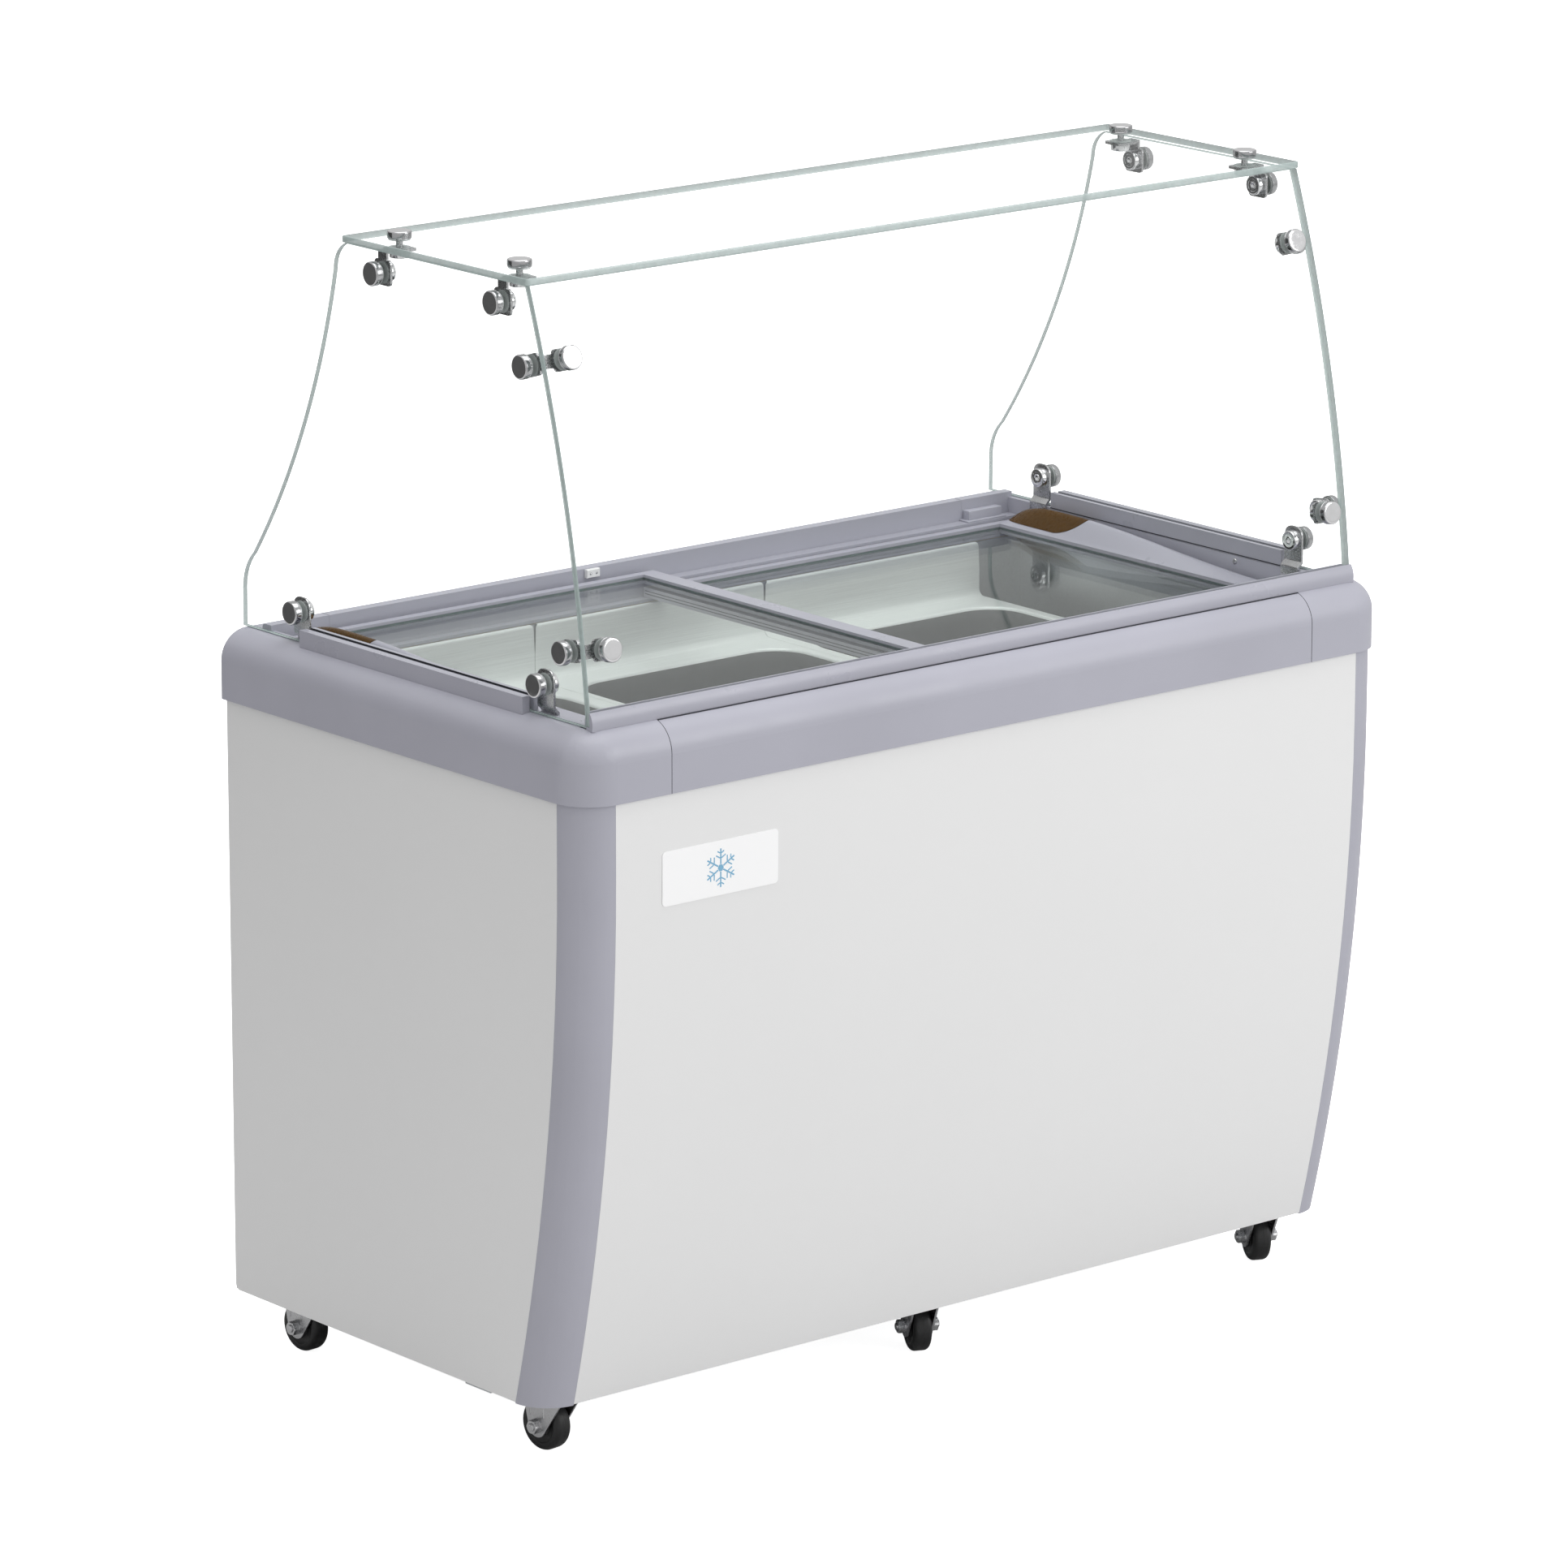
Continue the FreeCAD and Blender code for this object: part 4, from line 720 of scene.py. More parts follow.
clamps = []
corner_specs = []
for s in (-1, 1):
    for yc in (77.0, -145.0):
        clamps.append(((s * EG_X, yc, 1348.0), (s, 0, 0), GL))
        clamps.append(((s * 555.0, yc, TOP_Z1), (0, 0, 1), TOP_Z1 - TOP_Z0))
    for zc in (1293.0, 972.0):
        yg, nn = fg_point(zc, 0), fg_normal(zc)
        clamps.append(((s * 555.0, yg, zc), (0, nn[0], nn[1]), GL))
        clamps.append(((s * EG_X, yg - nn[0] * 34.0, zc - nn[1] * 34.0), (s, 0, 0), GL))
    for yc in (241.0, -219.0):
        clamps.append(((s * EG_X, yc, 921.0), (s, 0, 0), GL))

knob_parts, stud_parts, washer_parts, nut_parts = [], [], [], []
for p, n, t in clamps:
    T = WASH_OUT + KNOB_T
    knob_parts.append(turned([
        (0.0, T - 0.05), (6.0, T - 0.02), (11.6, T), (12.5, T - 0.04), (13.25, T - 0.28), (13.85, T - 0.75), (14.15, T - 1.35),
        (KNOB_R, T - 2.0), (KNOB_R, WASH_OUT + 2.15), (14.05, WASH_OUT + 1.95), (13.75, WASH_OUT + 1.85), (13.75, WASH_OUT + 1.35),
        (14.05, WASH_OUT + 1.25), (14.2, WASH_OUT + 1.05), (14.2, WASH_OUT + 0.45), (13.9, WASH_OUT + 0.12), (13.4, WASH_OUT), (0.0, WASH_OUT),
    ], p, n, 72))
    b = -t - WASH_IN - PLATE
    stud_parts.append(turned([(0.0, WASH_OUT + 0.6), (STUD_R, WASH_OUT + 0.6), (STUD_R, b - 4.6), (STUD_R - 0.4, b - 5.0), (0.0, b - 5.0)], p, n, 32))
    washer_parts.append(turned([(4.4, 0.02), (4.4, WASH_OUT - 0.02), (12.4, WASH_OUT - 0.02), (12.85, WASH_OUT - 0.2), (WASH_R, WASH_OUT / 2), (12.85, 0.2), (12.4, 0.02), (4.4, 0.02)], p, n, 64))
    w0, w1 = -t - WASH_IN + 0.02, -t - 0.06
    washer_parts.append(turned([(4.4, w0), (4.4, w1), (12.5, w1), (12.9, w1 - 0.2), (WASH_R, (w0 + w1) / 2), (12.9, w0 + 0.2), (12.5, w0), (4.4, w0)], p, n, 64))
    c = b - NUT_T
    hx = hex_radius(6.0)
    nut_parts.append(turned([
        (0.0, c + 2.4), (hx, c + 2.4), (hx, c + 0.15), (lambda a, h=hx: h(a) + 0.25, c + 0.02), (5.0, c), (5.3, c + 0.35), (7.4, c + 0.35), (7.8, c),
        (10.6, c), (11.3, c + 0.2), (11.75, c + 0.6), (NUT_R, c + 1.3), (NUT_R, b - 0.7), (11.6, b - 0.15), (11.2, b), (0.0, b),
    ], p, n, 72))
v, f = merge(knob_parts)
caps = mesh_object("clamp_knob_caps", v, f, [CHROME, CHROME_SIDE_SHADE], replaces=("clamp_knobs",), angle=32)
seats = [(Vector(p) * MM, Vector(n).normalized()) for p, n, t in clamps]
# side faces of each cap take the darker chrome: painted shade
for q in caps.data.polygons:
    n = min(seats, key=lambda a: (a[0] - q.center).length)[1]
    q.material_index = 1 if abs(q.normal.dot(n)) < 0.8 else 0
v, f = merge(stud_parts)
mesh_object("clamp_studs", v, f, ZINC, angle=32)
v, f = merge(washer_parts)
mesh_object("clamp_washer_rings", v, f, WASHER, replaces=("clamp_washers",), angle=32)
v, f = merge(nut_parts)
mesh_object("clamp_nut_rounds", v, f, CHROME, replaces=("clamp_nuts",), angle=32)


# ------------------------------------------------------------------ base posts: jogged straps with a screw each
post_parts, screw_parts = [], []
for s in (-1, 1):
    for yc in (241.0, -219.0):
        xo, xi = XIN - 0.02, XIN - PLATE + 0.02
        ro, ri = RIM_INX - 0.1, RIM_INX - 0.1 - PLATE
        outer = [(ro, 861.2), (ro, 886.5), (ro + 0.5, 888.3), (xo - 0.5, 893.2), (xo, 895.0), (xo, 927.0)]
        inner = [(ri, 861.2), (ri, 888.3), (ri + 0.5, 890.0), (xi - 0.4, 894.8), (xi, 896.6), (xi, 927.0)]
        rings = []
        for (xa, za), (xb, zb) in zip(outer, inner):
            rings.append([Vector((s * xa, yc - PAD, za)) * MM, Vector((s * xa, yc + PAD, za)) * MM, Vector((s * xb, yc + PAD, zb)) * MM, Vector((s * xb, yc - PAD, zb)) * MM])
        # rounded head
        for i in range(1, 9):
            a = math.radians(90 * i / 8)
            w, z = PAD - 11.0 * (1 - math.cos(a)), 927.0 + 11.0 * math.sin(a)
            rings.append([Vector((s * xo, yc - w, z)) * MM, Vector((s * xo, yc + w, z)) * MM, Vector((s * xi, yc + w, z)) * MM, Vector((s * xi, yc - w, z)) * MM])
        post_parts.append(ring_skin(rings))
        hx = hex_radius(3.2)
        screw_parts.append(turned([
            (0.0, 0.5), (hx, 0.5), (hx, 1.5), (2.4, 1.62), (3.4, 1.4), (4.3, 0.95), (4.9, 0.3), (5.0, 0.0), (0.0, 0.0),
        ], (s * (ri - 0.02), yc, 869.0), (-s, 0, 0), 48))
v, f = merge(post_parts)
o = mesh_object("base_post_straps", v, f, ZINC, replaces=("base_posts",), smooth=False)
bevelled(o, 0.35 * MM, 2, 35)
apply_modifiers(o)
shade(o, 35)
v, f = merge(screw_parts)
mesh_object("base_post_screws", v, f, ZINC, replaces=("post_screws",), angle=30)


# ------------------------------------------------------------------ lid handles with their grips
def catmull(pts, n):
    """Smooth points through pts, n steps per span."""
    out = []
    m = len(pts)
    for i in range(m - 1):
        p0, p1, p2, p3 = pts[max(i - 1, 0)], pts[i], pts[i + 1], pts[min(i + 2, m - 1)]
        for k in range(n):
            t = k / n
            out.append(tuple(
                0.5 * ((2 * b) + (-a + c) * t + (2 * a - 5 * b + 4 * c - d) * t * t + (-a + 3 * b - 3 * c + d) * t**3)
                for a, b, c, d in zip(p0, p1, p2, p3)
            ))
    out.append(tuple(pts[-1]))
    return out


HANDLE = [
    (-186.0, 1.2), (-150.0, 3.0), (-104.0, 6.5), (-46.0, 11.5), (0.0, 16.0), (43.0, 20.0), (90.0, 23.4),
    (135.0, 25.3), (180.0, 25.8), (215.0, 24.6), (242.0, 19.5), (259.0, 11.5), (266.0, 4.5), (268.0, 2.0),
]


def handle_pieces(side, s, z0):
    rings = []
    for y, h in catmull(HANDLE, 7):
        sec = [(531.0, 0.15), (534.5, 0.15 + 0.14 * h), (543.0, 0.15 + 0.55 * h), (551.5, 0.15 + 0.92 * h), (557.0, 0.15 + h),
               (562.5, 0.15 + 0.86 * h), (565.5, 0.15 + 0.45 * h), (566.3, 0.15)]
        rings.append([Vector((s * x, y, z0 + z)) * MM for x, z in catmull(sec, 4)])
    vs, fs = ring_skin(rings)
    body = mesh_object("lid_%s_pull" % side, vs, fs, EXTR, smooth=False, body="lid_%s" % side,
                       replaces=("lid_%s_handle" % side,))
    grip = mesh_object("lid_%s_pull_grip" % side, vs, fs, BROWN, smooth=False, body="lid_%s" % side,
                       replaces=("lid_%s_grip" % side,))
    z = z0 + 4.5

    def cutter(g):
        line = [(300.0, z + g), (172.0 + g, z + g)] + arc3((172.0 + g, z + g), (146.0 + g, z0 + 12.0 + g), (126.0 + g, z0 + 27.5 + g), 10)[1:] + [(126.0 + g, z0 + 60), (300.0, z0 + 60)]
        cv, cf = prism(line, (0, 1, 0), (0, 0, 1), (1, 0, 0), 140.0, (500.0 if s > 0 else -640.0, 0, 0))
        me = bpy.data.meshes.new("cut")
        me.from_pydata([tuple(q) for q in cv], [], cf)
        bm = bmesh.new()
        bm.from_mesh(me)
        bmesh.ops.recalc_face_normals(bm, faces=bm.faces)
        bm.to_mesh(me)
        bm.free()
        c = bpy.data.objects.new("cut", me)
        scene.collection.objects.link(c)
        return c

    for o, op, g in ((body, "DIFFERENCE", -0.25), (grip, "INTERSECT", 0.25)):
        c = cutter(g)
        m = o.modifiers.new("split", "BOOLEAN")
        m.operation = op
        m.solver = "EXACT"
        m.object = c
        bpy.context.view_layer.update()
        apply_modifiers(o)
        bpy.data.objects.remove(c)
        mat = EXTR if o is body else BROWN
        o.data.materials.clear()
        o.data.materials.append(mat)
        for q in o.data.polygons:
            q.material_index = 0
        shade(o, 42)
    return body, grip


handle_pieces("left", -1, 878.5)
handle_pieces("right", 1, 863.0)


# ------------------------------------------------------------------ pans: pressed sheet with rolled well mouths
def round_ring(x0, y0, x1, y1, r, n_arc=10, n_line=5):
    """Closed ring on a rounded rectangle, from the (x1, y0) corner's arc on, turning to +Y."""
    pts = []
    for cx, cy, a0 in ((x1 - r, y0 + r, 270), (x1 - r, y1 - r, 0), (x0 + r, y1 - r, 90), (x0 + r, y0 + r, 180)):
        pts += arc_pts(cx, cy, r, a0, a0 + 90, n_arc)
        nx = pts[-1]
        k = {270: (x1, y1 - r), 0: (x0 + r, y1), 90: (x0, y0 + r), 180: (x1 - r, y0)}[a0]
        for i in range(1, n_line):
            t = i / n_line
            pts.append((nx[0] + (k[0] - nx[0]) * t, nx[1] + (k[1] - nx[1]) * t))
    return pts


def radial_rect(x0, y0, x1, y1, ring):
    """The rectangle's outline met by each ring point's own arc share: one rectangle point per ring point."""
    out = []
    n = len(ring)
    cx, cy = (x0 + x1) / 2, (y0 + y1) / 2
    for x, y in ring:
        dx, dy = x - cx, y - cy
        hx, hy = (x1 - x0) / 2, (y1 - y0) / 2
        k = min(hx / abs(dx) if abs(dx) > 1e-9 else 1e9, hy / abs(dy) if abs(dy) > 1e-9 else 1e9)
        out.append((cx + dx * k, cy + dy * k))
    return out


def pan_piece(name, x0, x1, w0, w1):
    WY, WR, ZS, ZB = 215.0, 50.0, 778.0, 600.0
    yb = 253.0
    rl = 5.0
    mouth = round_ring(w0 - rl, -WY - rl, w1 + rl, WY + rl, WR + rl)
    outer = radial_rect(x0 + 0.15, -yb, x1 - 0.15, yb, mouth)
    # put exact corners on the rectangle's ring
    for cxx in (x0 + 0.15, x1 - 0.15):
        for cyy in (-yb, yb):
            k = min(range(len(outer)), key=lambda i: (outer[i][0] - cxx) ** 2 + (outer[i][1] - cyy) ** 2)
            outer[k] = (cxx, cyy)
    rings = [[Vector((x, y, ZS)) * MM for x, y in outer]]
    mid = [((a[0] + b[0]) / 2, (a[1] + b[1]) / 2) for a, b in zip(outer, mouth)]
    rings.append([Vector((x, y, ZS)) * MM for x, y in mid])
    rings.append([Vector((x, y, ZS)) * MM for x, y in mouth])
    for i in range(1, 7):
        a = math.radians(90 * i / 6)
        ins = rl * math.sin(a)
        z = ZS - rl * (1 - math.cos(a))
        rings.append([Vector((x, y, z)) * MM for x, y in round_ring(w0 - rl + ins, -WY - rl + ins, w1 + rl - ins, WY + rl - ins, WR + rl - ins)])
    for z, ins in ((740.0, 0.3), (690.0, 0.6), (640.0, 0.9), (621.0, 1.0)):
        rings.append([Vector((x, y, z)) * MM for x, y in round_ring(w0 + ins, -WY + ins, w1 - ins, WY - ins, WR - ins)])
    for i in range(1, 9):
        a = math.radians(90 * i / 8)
        ins = 1.0 + 20.0 * (1 - math.cos(a))
        z = 620.6 - 20.0 * math.sin(a)
        rings.append([Vector((x, y, z)) * MM for x, y in round_ring(w0 + ins, -WY + ins, w1 - ins, WY - ins, WR - ins)])
    n = len(mouth)
    verts = [p for r in rings for p in r]
    faces = []
    for i in range(len(rings) - 1):
        for j in range(n):
            k = (j + 1) % n
            faces.append((i * n + j, i * n + k, (i + 1) * n + k, (i + 1) * n + j))
    last = (len(rings) - 1) * n
    faces.append(tuple(last + j for j in range(n)))
    parts = [(verts, faces)]
    # end walls: bend, wall, flange, with rounded upper corners
    for sg in (-1, 1):
        prof = [(yb, ZS)] + [(yb + 9.0 * math.sin(math.radians(15 * i)), ZS + 9.0 * (1 - math.cos(math.radians(15 * i)))) for i in range(1, 7)]
        prof += [(262.0, 810.0), (262.0, 842.5), (262.4, 844.9), (263.6, 846.2), (265.8, 846.45)]
        rr = []
        for y, z in prof:
            e = 0.15
            if z > 834:
                e = 0.15 + 7.0 * (1 - math.sqrt(max(0.0, 1 - ((z - 834) / 13.0) ** 2)))
            rr.append([Vector((x0 + e, sg * y, z)) * MM, Vector((x1 - e, sg * y, z)) * MM])
        parts.append(ring_skin(rr, close_ring=False, cap=False))
    v, f = merge(parts)
    o = mesh_object(name + "_pressing", v, f, [STEEL, WELL_PAINTED_SHADE], smooth=False, replaces=(name,))
    # faces below the well mouth take the near-black well material: painted shade
    for q in o.data.polygons:
        q.material_index = 1 if q.center.z < 0.7745 else 0
    sol = o.modifiers.new("sheet", "SOLIDIFY")
    sol.thickness = 0.9 * MM
    sol.offset = -1.0
    apply_modifiers(o)
    shade(o, 40)
    return o


for nm, (a, b, c, d) in {
    "pan_left": (-562.0, -217.2, -545.0, -240.0),
    "pan_middle": (-216.8, 141.8, -203.0, 129.0),
    "pan_right": (142.2, 493.0, 161.0, 478.0),
}.items():
    pan_piece(nm, a, b, c, d)


# ------------------------------------------------------------------ rim: dark bands of painted shade in the seams between its pieces, along the front joint line and at the end channels' foot and top
def line_band(pts, x0, x1, out=0.05, depth=0.9):
    """Thin band along a (y, z) path with (ny, nz) outward normals, from x0 to x1."""
    rings = []
    for (y, z), (ny, nz) in pts:
        a = (y + ny * out, z + nz * out)
        b = (y - ny * depth, z - nz * depth)
        rings.append([Vector((x0, a[0], a[1])) * MM, Vector((x1, a[0], a[1])) * MM, Vector((x1, b[0], b[1])) * MM, Vector((x0, b[0], b[1])) * MM])
    return ring_skin(rings)


RIM_REAR, RIM_RR = 346.6, 8.0
front_path = [((-RIM_Y, 803.6), (-1, 0)), ((-RIM_Y, 849.0), (-1, 0))]
for i in range(1, 21):
    a = math.radians(180 - (180 - 106.65) * i / 20)
    front_path.append(((-303.7 + 37 * math.cos(a), 849.0 + 37 * math.sin(a)), (math.cos(a), math.sin(a))))
rear_path = [((RIM_REAR, 803.6), (1, 0)), ((RIM_REAR, 878.0), (1, 0))]
for i in range(1, 9):
    a = math.radians(90 * i / 8)
    rear_path.append(((338.6 + 8 * math.cos(a), 878.0 + 8 * math.sin(a)), (math.cos(a), math.sin(a))))
rear_path.append(((318.9, 886.0), (0, 1)))
lip_path = [((318.0, 886.9), (1, 0)), ((318.0, 888.0), (1, 0))]
for i in range(1, 7):
    a = math.radians(90 * i / 6)
    lip_path.append(((313 + 5 * math.cos(a), 888.0 + 5 * math.sin(a)), (math.cos(a), math.sin(a))))
lip_path.append(((300.9, 893.0), (0, 1)))
parts = []
for s in (-1, 1):
    for path in (front_path, rear_path, lip_path):
        parts.append(line_band(path, s * RIM_SEAM - 0.42, s * RIM_SEAM + 0.42))
parts.append(box_mesh(-RIM_SEAM + 0.3, -315.9, 883.0, RIM_SEAM - 0.3, -313.96, 884.95))
for s in (-1, 1):
    for xa, xb, za, zb in ((574.15, 574.98, 885.2, 886.25), (580.65, 581.2, 903.0, 905.15)):
        parts.append(box_mesh(min(s * xa, s * xb), CH_Y0 + 0.2, za, max(s * xa, s * xb), CH_Y1 - 0.2, zb))
v, f = merge(parts)
mesh_object("rim_joint_shade_lines", v, f, GROOVE_SHADE, smooth=False)

for n in ("rim_end_left", "rim_end_right", "rim_front_strip", "rim_rear_strip"):
    soften(n, 0.55, 2, 50.0)
for n in ("corner_trim_left", "corner_trim_right"):
    soften(n, 0.5, 2, 50.0)

# worn feet of the skid tabs under the long sides
parts = [box_mesh(s * 600 - 2.9, -138.5, 63.0, s * 600 + 2.9, -90.5, 66.3) for s in (-1, 1)]
v, f = merge(parts)
o = mesh_object("skid_tab_feet", v, f, GALV, smooth=False)
bevelled(o, 0.8 * MM, 2, 40)
apply_modifiers(o)
shade(o, 40)

# screws through the end rims' inner faces, one each
parts = []
for s in (-1, 1):
    hx = hex_radius(2.3)
    parts.append(turned([
        (0.0, 0.5), (hx, 0.5), (hx, 1.35), (1.9, 1.45), (2.7, 1.25), (3.3, 0.8), (3.6, 0.3), (3.65, 0.0), (0.0, 0.0),
    ], (s * 573.98, -119.4, 877.1), (-s, 0, 0), 40))
v, f = merge(parts)
mesh_object("rim_screws", v, f, ZINC, angle=30)

# end stop of the upper lid, a small block on the rear ledge
parts = [box_mesh(498.0, 288.0, 866.62, 552.0, 300.25, 880.0), box_mesh(492.0, 283.0, 866.62, 556.0, 300.2, 868.6)]
v, f = merge([parts[0]])
o = mesh_object("rear_stop_block", v, f, RIM, smooth=False)
bevelled(o, 0.9 * MM, 3, 40)
apply_modifiers(o)
shade(o, 40)
v, f = merge([parts[1]])
o = mesh_object("rear_stop_foot", v, f, RIM, smooth=False)
bevelled(o, 0.5 * MM, 2, 40)
apply_modifiers(o)
shade(o, 40)


# ------------------------------------------------------------------ badge: plain white plate with a snow crystal
def front_y(z):
    return YC - math.sqrt(FRONT_R**2 - max(0.0, FRONT_ZS - z) ** 2)


def face_piece(outline, proud, depth, bevel):
    """Plate with an (x, z) outline standing proud of the front's face, edge rolled by bevel."""
    cx = sum(p[0] for p in outline) / len(outline)
    cz = sum(p[1] for p in outline) / len(outline)
    rings = []
    for off, k in ((-depth, 0.0), (proud - bevel, 0.0), (proud - bevel * 0.3, 0.3), (proud, 1.0)):
        ring = []
        for x, z in outline:
            d = Vector((cx - x, cz - z))
            d = d / d.length if d.length > 1e-6 else d
            x2, z2 = x + d.x * bevel * k, z + d.y * bevel * k
            ring.append(Vector((x2, front_y(z2) - off, z2)) * MM)
        rings.append(ring)
    return ring_skin(rings)


def bar2(cx, cz, ang, r0, r1, w, n=4):
    """Rounded bar from radius r0 to r1 at ang degrees about (cx, cz), as an (x, z) outline."""
    c, s = math.cos(math.radians(ang)), math.sin(math.radians(ang))
    pts = [(r0, -w / 2)] + [(r0 + (r1 - r0) * i / n, -w / 2) for i in range(1, n + 1)]
    pts += [(r1 + w / 2 * math.sin(math.radians(30 * i)), -w / 2 * math.cos(math.radians(30 * i))) for i in range(1, 6)]
    pts += [(r0 + (r1 - r0) * i / n, w / 2) for i in range(n, -1, -1)]
    return [(cx + a * c - b * s, cz + a * s + b * c) for a, b in pts]


soften("badge", 0.3, 2, 40.0)
parts = []
bx, bz = -421.4, 704.2
for k in range(6):
    a = 90 + 60 * k
    ca, sa = math.cos(math.radians(a)), math.sin(math.radians(a))
    parts.append(face_piece(bar2(bx, bz, a, 4.4, 22.0, 1.9), 1.08, -0.85, 0.08))
    for t, w in ((11.0, 7.5), (17.0, 5.0)):
        for d in (-60, 60):
            parts.append(face_piece(bar2(bx + ca * t, bz + sa * t, a + d, 1.3, w, 1.5), 1.08, -0.85, 0.08))
ring6 = [(bx + 4.4 * math.cos(math.radians(a)), bz + 4.4 * math.sin(math.radians(a))) for a in range(0, 360, 60)]
parts.append(face_piece(ring6, 1.08, -0.85, 0.08))
v, f = merge(parts)
mesh_object("badge_crystal", v, f, ICE, smooth=False)


# ------------------------------------------------------------------ casters
CASTERS = [
    ("fl", -557.0, -203.0, 96.0), ("fm", 0.0, -203.0, 65.0), ("fr", 557.0, -203.0, 65.0),
    ("rl", -557.0, 264.0, 94.0), ("rm", 0.0, 264.0, 118.0), ("rr", 557.0, 264.0, 75.0),
]
hw = WHEEL_W / 2
tyre = [(3.1, -hw), (12.4, -hw), (13.0, -hw + 0.25), (13.3, -hw + 0.7), (14.2, -hw + 1.5), (15.0, -hw + 1.62), (20.6, -hw + 1.62), (21.4, -hw + 1.2),
        (22.0, -hw + 0.62), (22.8, -hw + 0.5), (25.0, -hw + 0.5)]
tyre += [(25.0 + 6.0 * math.sin(math.radians(11.25 * i)), -hw + 0.5 + 6.0 * (1 - math.cos(math.radians(11.25 * i)))) for i in range(1, 9)]
tyre += [(31.0, -0.35), (30.86, -0.2)]
tyre = tyre + [(r, -t) for r, t in reversed(tyre)]
for nm, sx, sy, ang in CASTERS:
    c, s = math.cos(math.radians(ang)), math.sin(math.radians(ang))
    ax = Vector((-s, c, 0))
    ce = Vector((sx + TRAIL * c, sy + TRAIL * s, WHEEL_R))
    vs, fs = lathe(tyre, ce, ax, 96)
    mesh_object("caster_%s_tyre" % nm, vs, fs, RUBBER, body="wheel_%s" % nm, replaces=("caster_%s_wheel" % nm,), angle=30)
    soften("caster_%s_fork" % nm, 0.45, 2, 35.0)
    parts = []
    for sg in (-1, 1):
        for u, w in ((TRAIL - 10.5, 2.6), (TRAIL + 10.5, 2.6)):
            ring_pts = []
            for k in range(9):
                a = math.radians(180 * k / 8)
                ring_pts.append((u - w / 2 * math.cos(a), hw + 3.95 + 0.7 * math.sin(a)))
            rr = []
            for z, kk in ((61.0, 0.05), (59.5, 0.75), (58.0, 1.0), (44.5, 1.0), (43.0, 0.75), (41.6, 0.05)):
                rr.append([
                    Vector((sx + (u + (a - u) * (0.6 + 0.4 * kk)) * c - sg * (hw + 3.95 + (b - hw - 3.95) * kk) * s,
                            sy + (u + (a - u) * (0.6 + 0.4 * kk)) * s + sg * (hw + 3.95 + (b - hw - 3.95) * kk) * c, z)) * MM
                    for a, b in ring_pts
                ])
            parts.append(ring_skin(rr))
    vs, fs = merge(parts)
    mesh_object("caster_%s_ribs" % nm, vs, fs, FORKM, body="caster_%s" % nm, angle=50)
    parts = []
    for sg in (-1, 1):
        d = ax * sg
        h15 = hex_radius(15.0)
        o0 = ce + d * (hw + 4.02)
        parts.append(turned([
            (0.0, 0.0), (8.9, 0.0), (8.9, 1.3), (lambda a, h=h15: min(h(a), 8.5), 1.35), (lambda a, h=h15: h(a), 1.9), (lambda a, h=h15: h(a), 8.2),
            (lambda a, h=h15: min(h(a), 7.7), 8.9), (5.2, 9.1), (4.6, 8.9), (4.6, 10.4), (4.1, 10.9), (0.0, 10.9),
        ], tuple(o0), tuple(d), 72))
    vs, fs = merge(parts)
    mesh_object("caster_%s_nuts" % nm, vs, fs, ZINC, body="caster_%s" % nm, angle=25)
soften("caster_plates", 0.4, 2, 35.0)

# ------------------------------------------------------------------ lid stop screws
parts = []
for x in (-104.5, -95.5):
    parts.append(turned([(0.0, -0.2), (1.5, -0.2), (1.5, 0.25), (1.2, 0.42), (0.5, 0.5), (0.0, 0.5)], (x, 294.9, 886.7), (0, -1, 0), 24))
v, f = merge(parts)
mesh_object("lid_stop_screws", v, f, ZINC, angle=30)
soften("lid_stop", 0.5, 2, 40.0)

# ------------------------------------------------------------------ meeting stiles: two painted shade lines standing in for the seal grooves in each face
def stile_lines(side, xf, sgn, yh, z0, z1):
    """Dark bands of painted shade, standing in for grooves along the meeting edge's vertical face at x = xf."""
    parts = []
    for z in (z0 + (z1 - z0) * 0.36, z0 + (z1 - z0) * 0.66):
        parts.append(box_mesh(min(xf, xf + sgn * 0.05) - 0.02, -yh + 3.0, z - 0.55, max(xf, xf + sgn * 0.05) + 0.02, yh - 3.0, z + 0.55))
    v, f = merge(parts)
    mesh_object("lid_%s_seal_lines" % side, v, f, GROOVE_SHADE, smooth=False, body="lid_%s" % side)


stile_lines("left", -11.0, 1, 291.0, 867.0, 878.5)
stile_lines("right", -35.0, -1, 279.5, 851.0, 863.0)

# ------------------------------------------------------------------ rear panel: rivets around the edge; softened edges on the rear parts
parts = []
for x in (-590.0, -395.0, -197.0, 0.0, 197.0, 395.0, 590.0):
    for z in (96.0, 782.0):
        parts.append(turned([(0.0, 1.35), (1.2, 1.3), (2.4, 0.95), (3.2, 0.4), (3.5, 0.0), (3.5, -0.4), (0.0, -0.4)], (x, BODY_Y, z), (0, 1, 0), 28))
for z in (270.0, 440.0, 610.0):
    for x in (-606.0, 606.0):
        parts.append(turned([(0.0, 1.35), (1.2, 1.3), (2.4, 0.95), (3.2, 0.4), (3.5, 0.0), (3.5, -0.4), (0.0, -0.4)], (x, BODY_Y, z), (0, 1, 0), 28))
v, f = merge(parts)
mesh_object("rear_rivets", v, f, ZINC, angle=30)
for n in ("rear_grille", "thermostat_knob", "cord_gland", "compressor"):
    soften(n, 0.4, 2, 40.0)

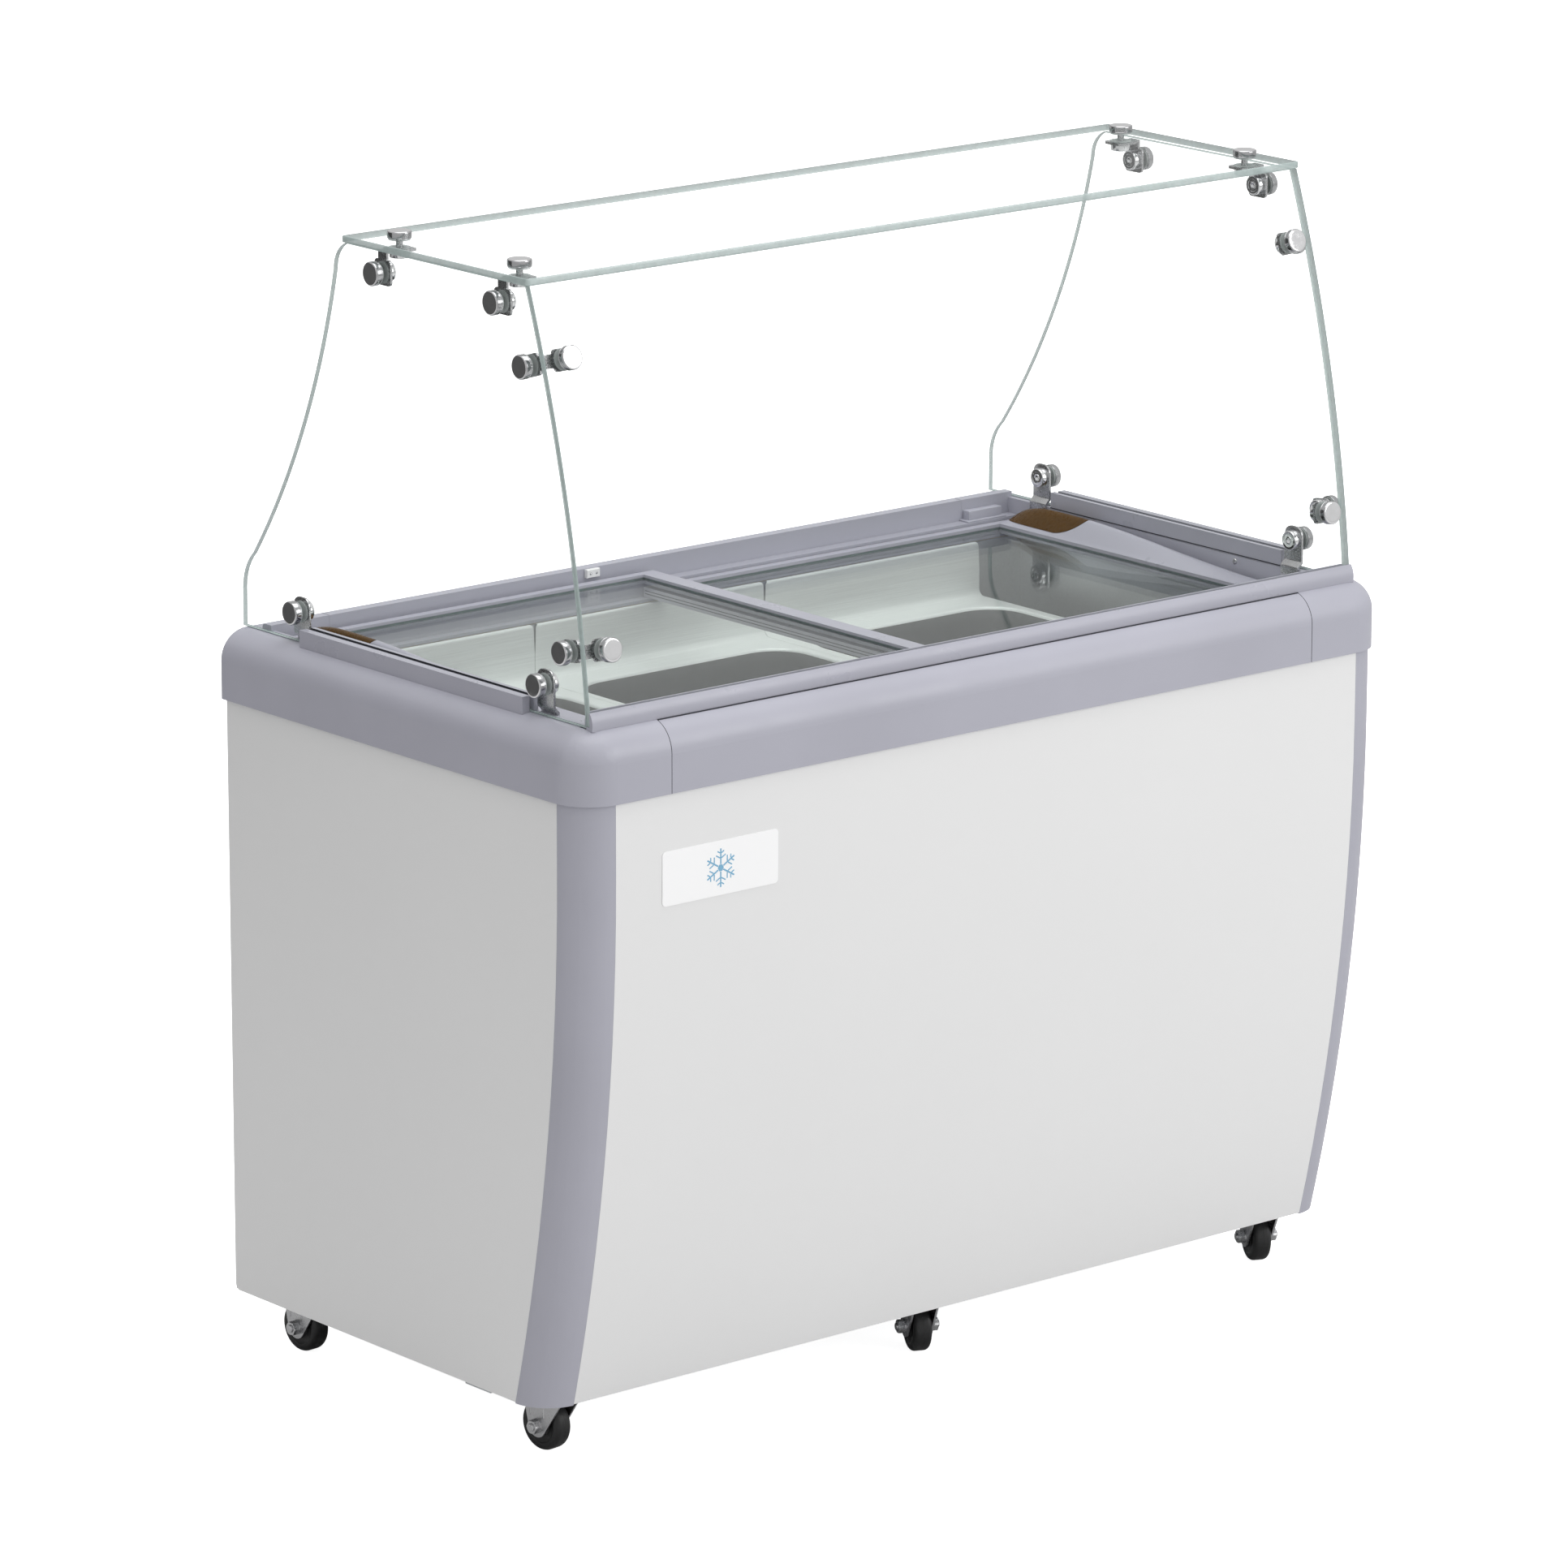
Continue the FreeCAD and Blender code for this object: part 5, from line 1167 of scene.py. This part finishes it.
# ------------------------------------------------------------------ studio
fl = bpy.data.meshes.new("studio_floor")
fl.from_pydata([(-30, -14, 0), (30, -14, 0), (30, 46, 0), (-30, 46, 0)], [], [(0, 1, 2, 3)])
floor = bpy.data.objects.new("studio_floor", fl)
scene.collection.objects.link(floor)
fm, fnt, fout = new_mat("studio_white")
fp = principled(fnt, fout, Roughness=0.9)
fp.inputs["Specular IOR Level"].default_value = 0.1
link(fnt, ramp(fnt, noise(fnt, object_coords(fnt), 0.4, 3.0), [(0.3, (0.90, 0.90, 0.90)), (0.7, (0.93, 0.93, 0.93))]), fp.inputs["Base Color"])
fp.inputs["Emission Color"].default_value = (1, 1, 1, 1)
fp.inputs["Emission Strength"].default_value = 0.90
flp = node(fnt, "ShaderNodeLightPath")
flm = node(fnt, "ShaderNodeMixShader")
fld = node(fnt, "ShaderNodeBsdfDiffuse")
fld.inputs[0].default_value = (0.72, 0.72, 0.72, 1)
link(fnt, flp.outputs["Is Camera Ray"], flm.inputs[0])
link(fnt, fld.outputs[0], flm.inputs[1])
link(fnt, fp.outputs[0], flm.inputs[2])
link(fnt, flm.outputs[0], fout.inputs[0])
fl.materials.append(fm)


def card(name, centre, normal, width, height, tone):
    n = Vector(normal).normalized()
    t = Vector((0, 0, 1)).cross(n).normalized()
    b = n.cross(t)
    c = Vector(centre)
    me = bpy.data.meshes.new(name)
    me.from_pydata([tuple(c + t * (i * width / 2) + b * (j * height / 2)) for i, j in ((-1, -1), (1, -1), (1, 1), (-1, 1))], [], [(0, 1, 2, 3)])
    o = bpy.data.objects.new(name, me)
    scene.collection.objects.link(o)
    m, nt, out = new_mat(name + "_felt")
    p = principled(nt, out, Roughness=0.95)
    link(nt, ramp(nt, noise(nt, object_coords(nt), 60.0, 3.0), [(0.3, (tone * 0.8,) * 3), (0.7, (tone,) * 3)]), p.inputs["Base Color"])
    me.materials.append(m)
    return o


card("flag_left", (-2.7, 2.3, 1.05), (0.62, -0.74, 0), 3.4, 2.5, 0.10)

world = bpy.data.worlds.new("studio")
scene.world = world
world.use_nodes = True
wn = world.node_tree
wn.nodes.clear()
wo = node(wn, "ShaderNodeOutputWorld")
tc = node(wn, "ShaderNodeTexCoord")
sep = node(wn, "ShaderNodeSeparateXYZ")
link(wn, tc.outputs["Generated"], sep.inputs[0])
wa = math_node(wn, "MULTIPLY", sep.outputs[0], 0.0)
wb = math_node(wn, "MULTIPLY", sep.outputs[1], -0.09)
wc = math_node(wn, "MULTIPLY", sep.outputs[2], 0.22)
wsum = math_node(wn, "ADD", math_node(wn, "ADD", wa, wb), math_node(wn, "ADD", wc, 0.63))
bg = node(wn, "ShaderNodeBackground")
bg.inputs[0].default_value = (1.0, 1.0, 1.0, 1)
link(wn, wsum, bg.inputs[1])
bgc = node(wn, "ShaderNodeBackground")
bgc.inputs[0].default_value = (1.0, 1.0, 1.0, 1)
bgc.inputs[1].default_value = 1.0
lp = node(wn, "ShaderNodeLightPath")
wm = node(wn, "ShaderNodeMixShader")
link(wn, lp.outputs["Is Camera Ray"], wm.inputs[0])
link(wn, bg.outputs[0], wm.inputs[1])
link(wn, bgc.outputs[0], wm.inputs[2])
link(wn, wm.outputs[0], wo.inputs[0])


def area(name, loc, target, size, power, colour=(1, 1, 1)):
    d = bpy.data.lights.new(name, "AREA")
    d.shape = "RECTANGLE"
    d.size, d.size_y = size
    d.energy = power
    d.color = colour
    o = bpy.data.objects.new(name, d)
    o.location = loc
    o.rotation_euler = (Vector(target) - Vector(loc)).to_track_quat("-Z", "Y").to_euler()
    scene.collection.objects.link(o)
    return o


area("key_front", (2.2, -4.2, 2.6), (0, 0, 0.7), (3.0, 2.4), 54)
area("overhead", (0.0, -0.2, 4.2), (0, 0, 0.8), (3.4, 2.6), 60)
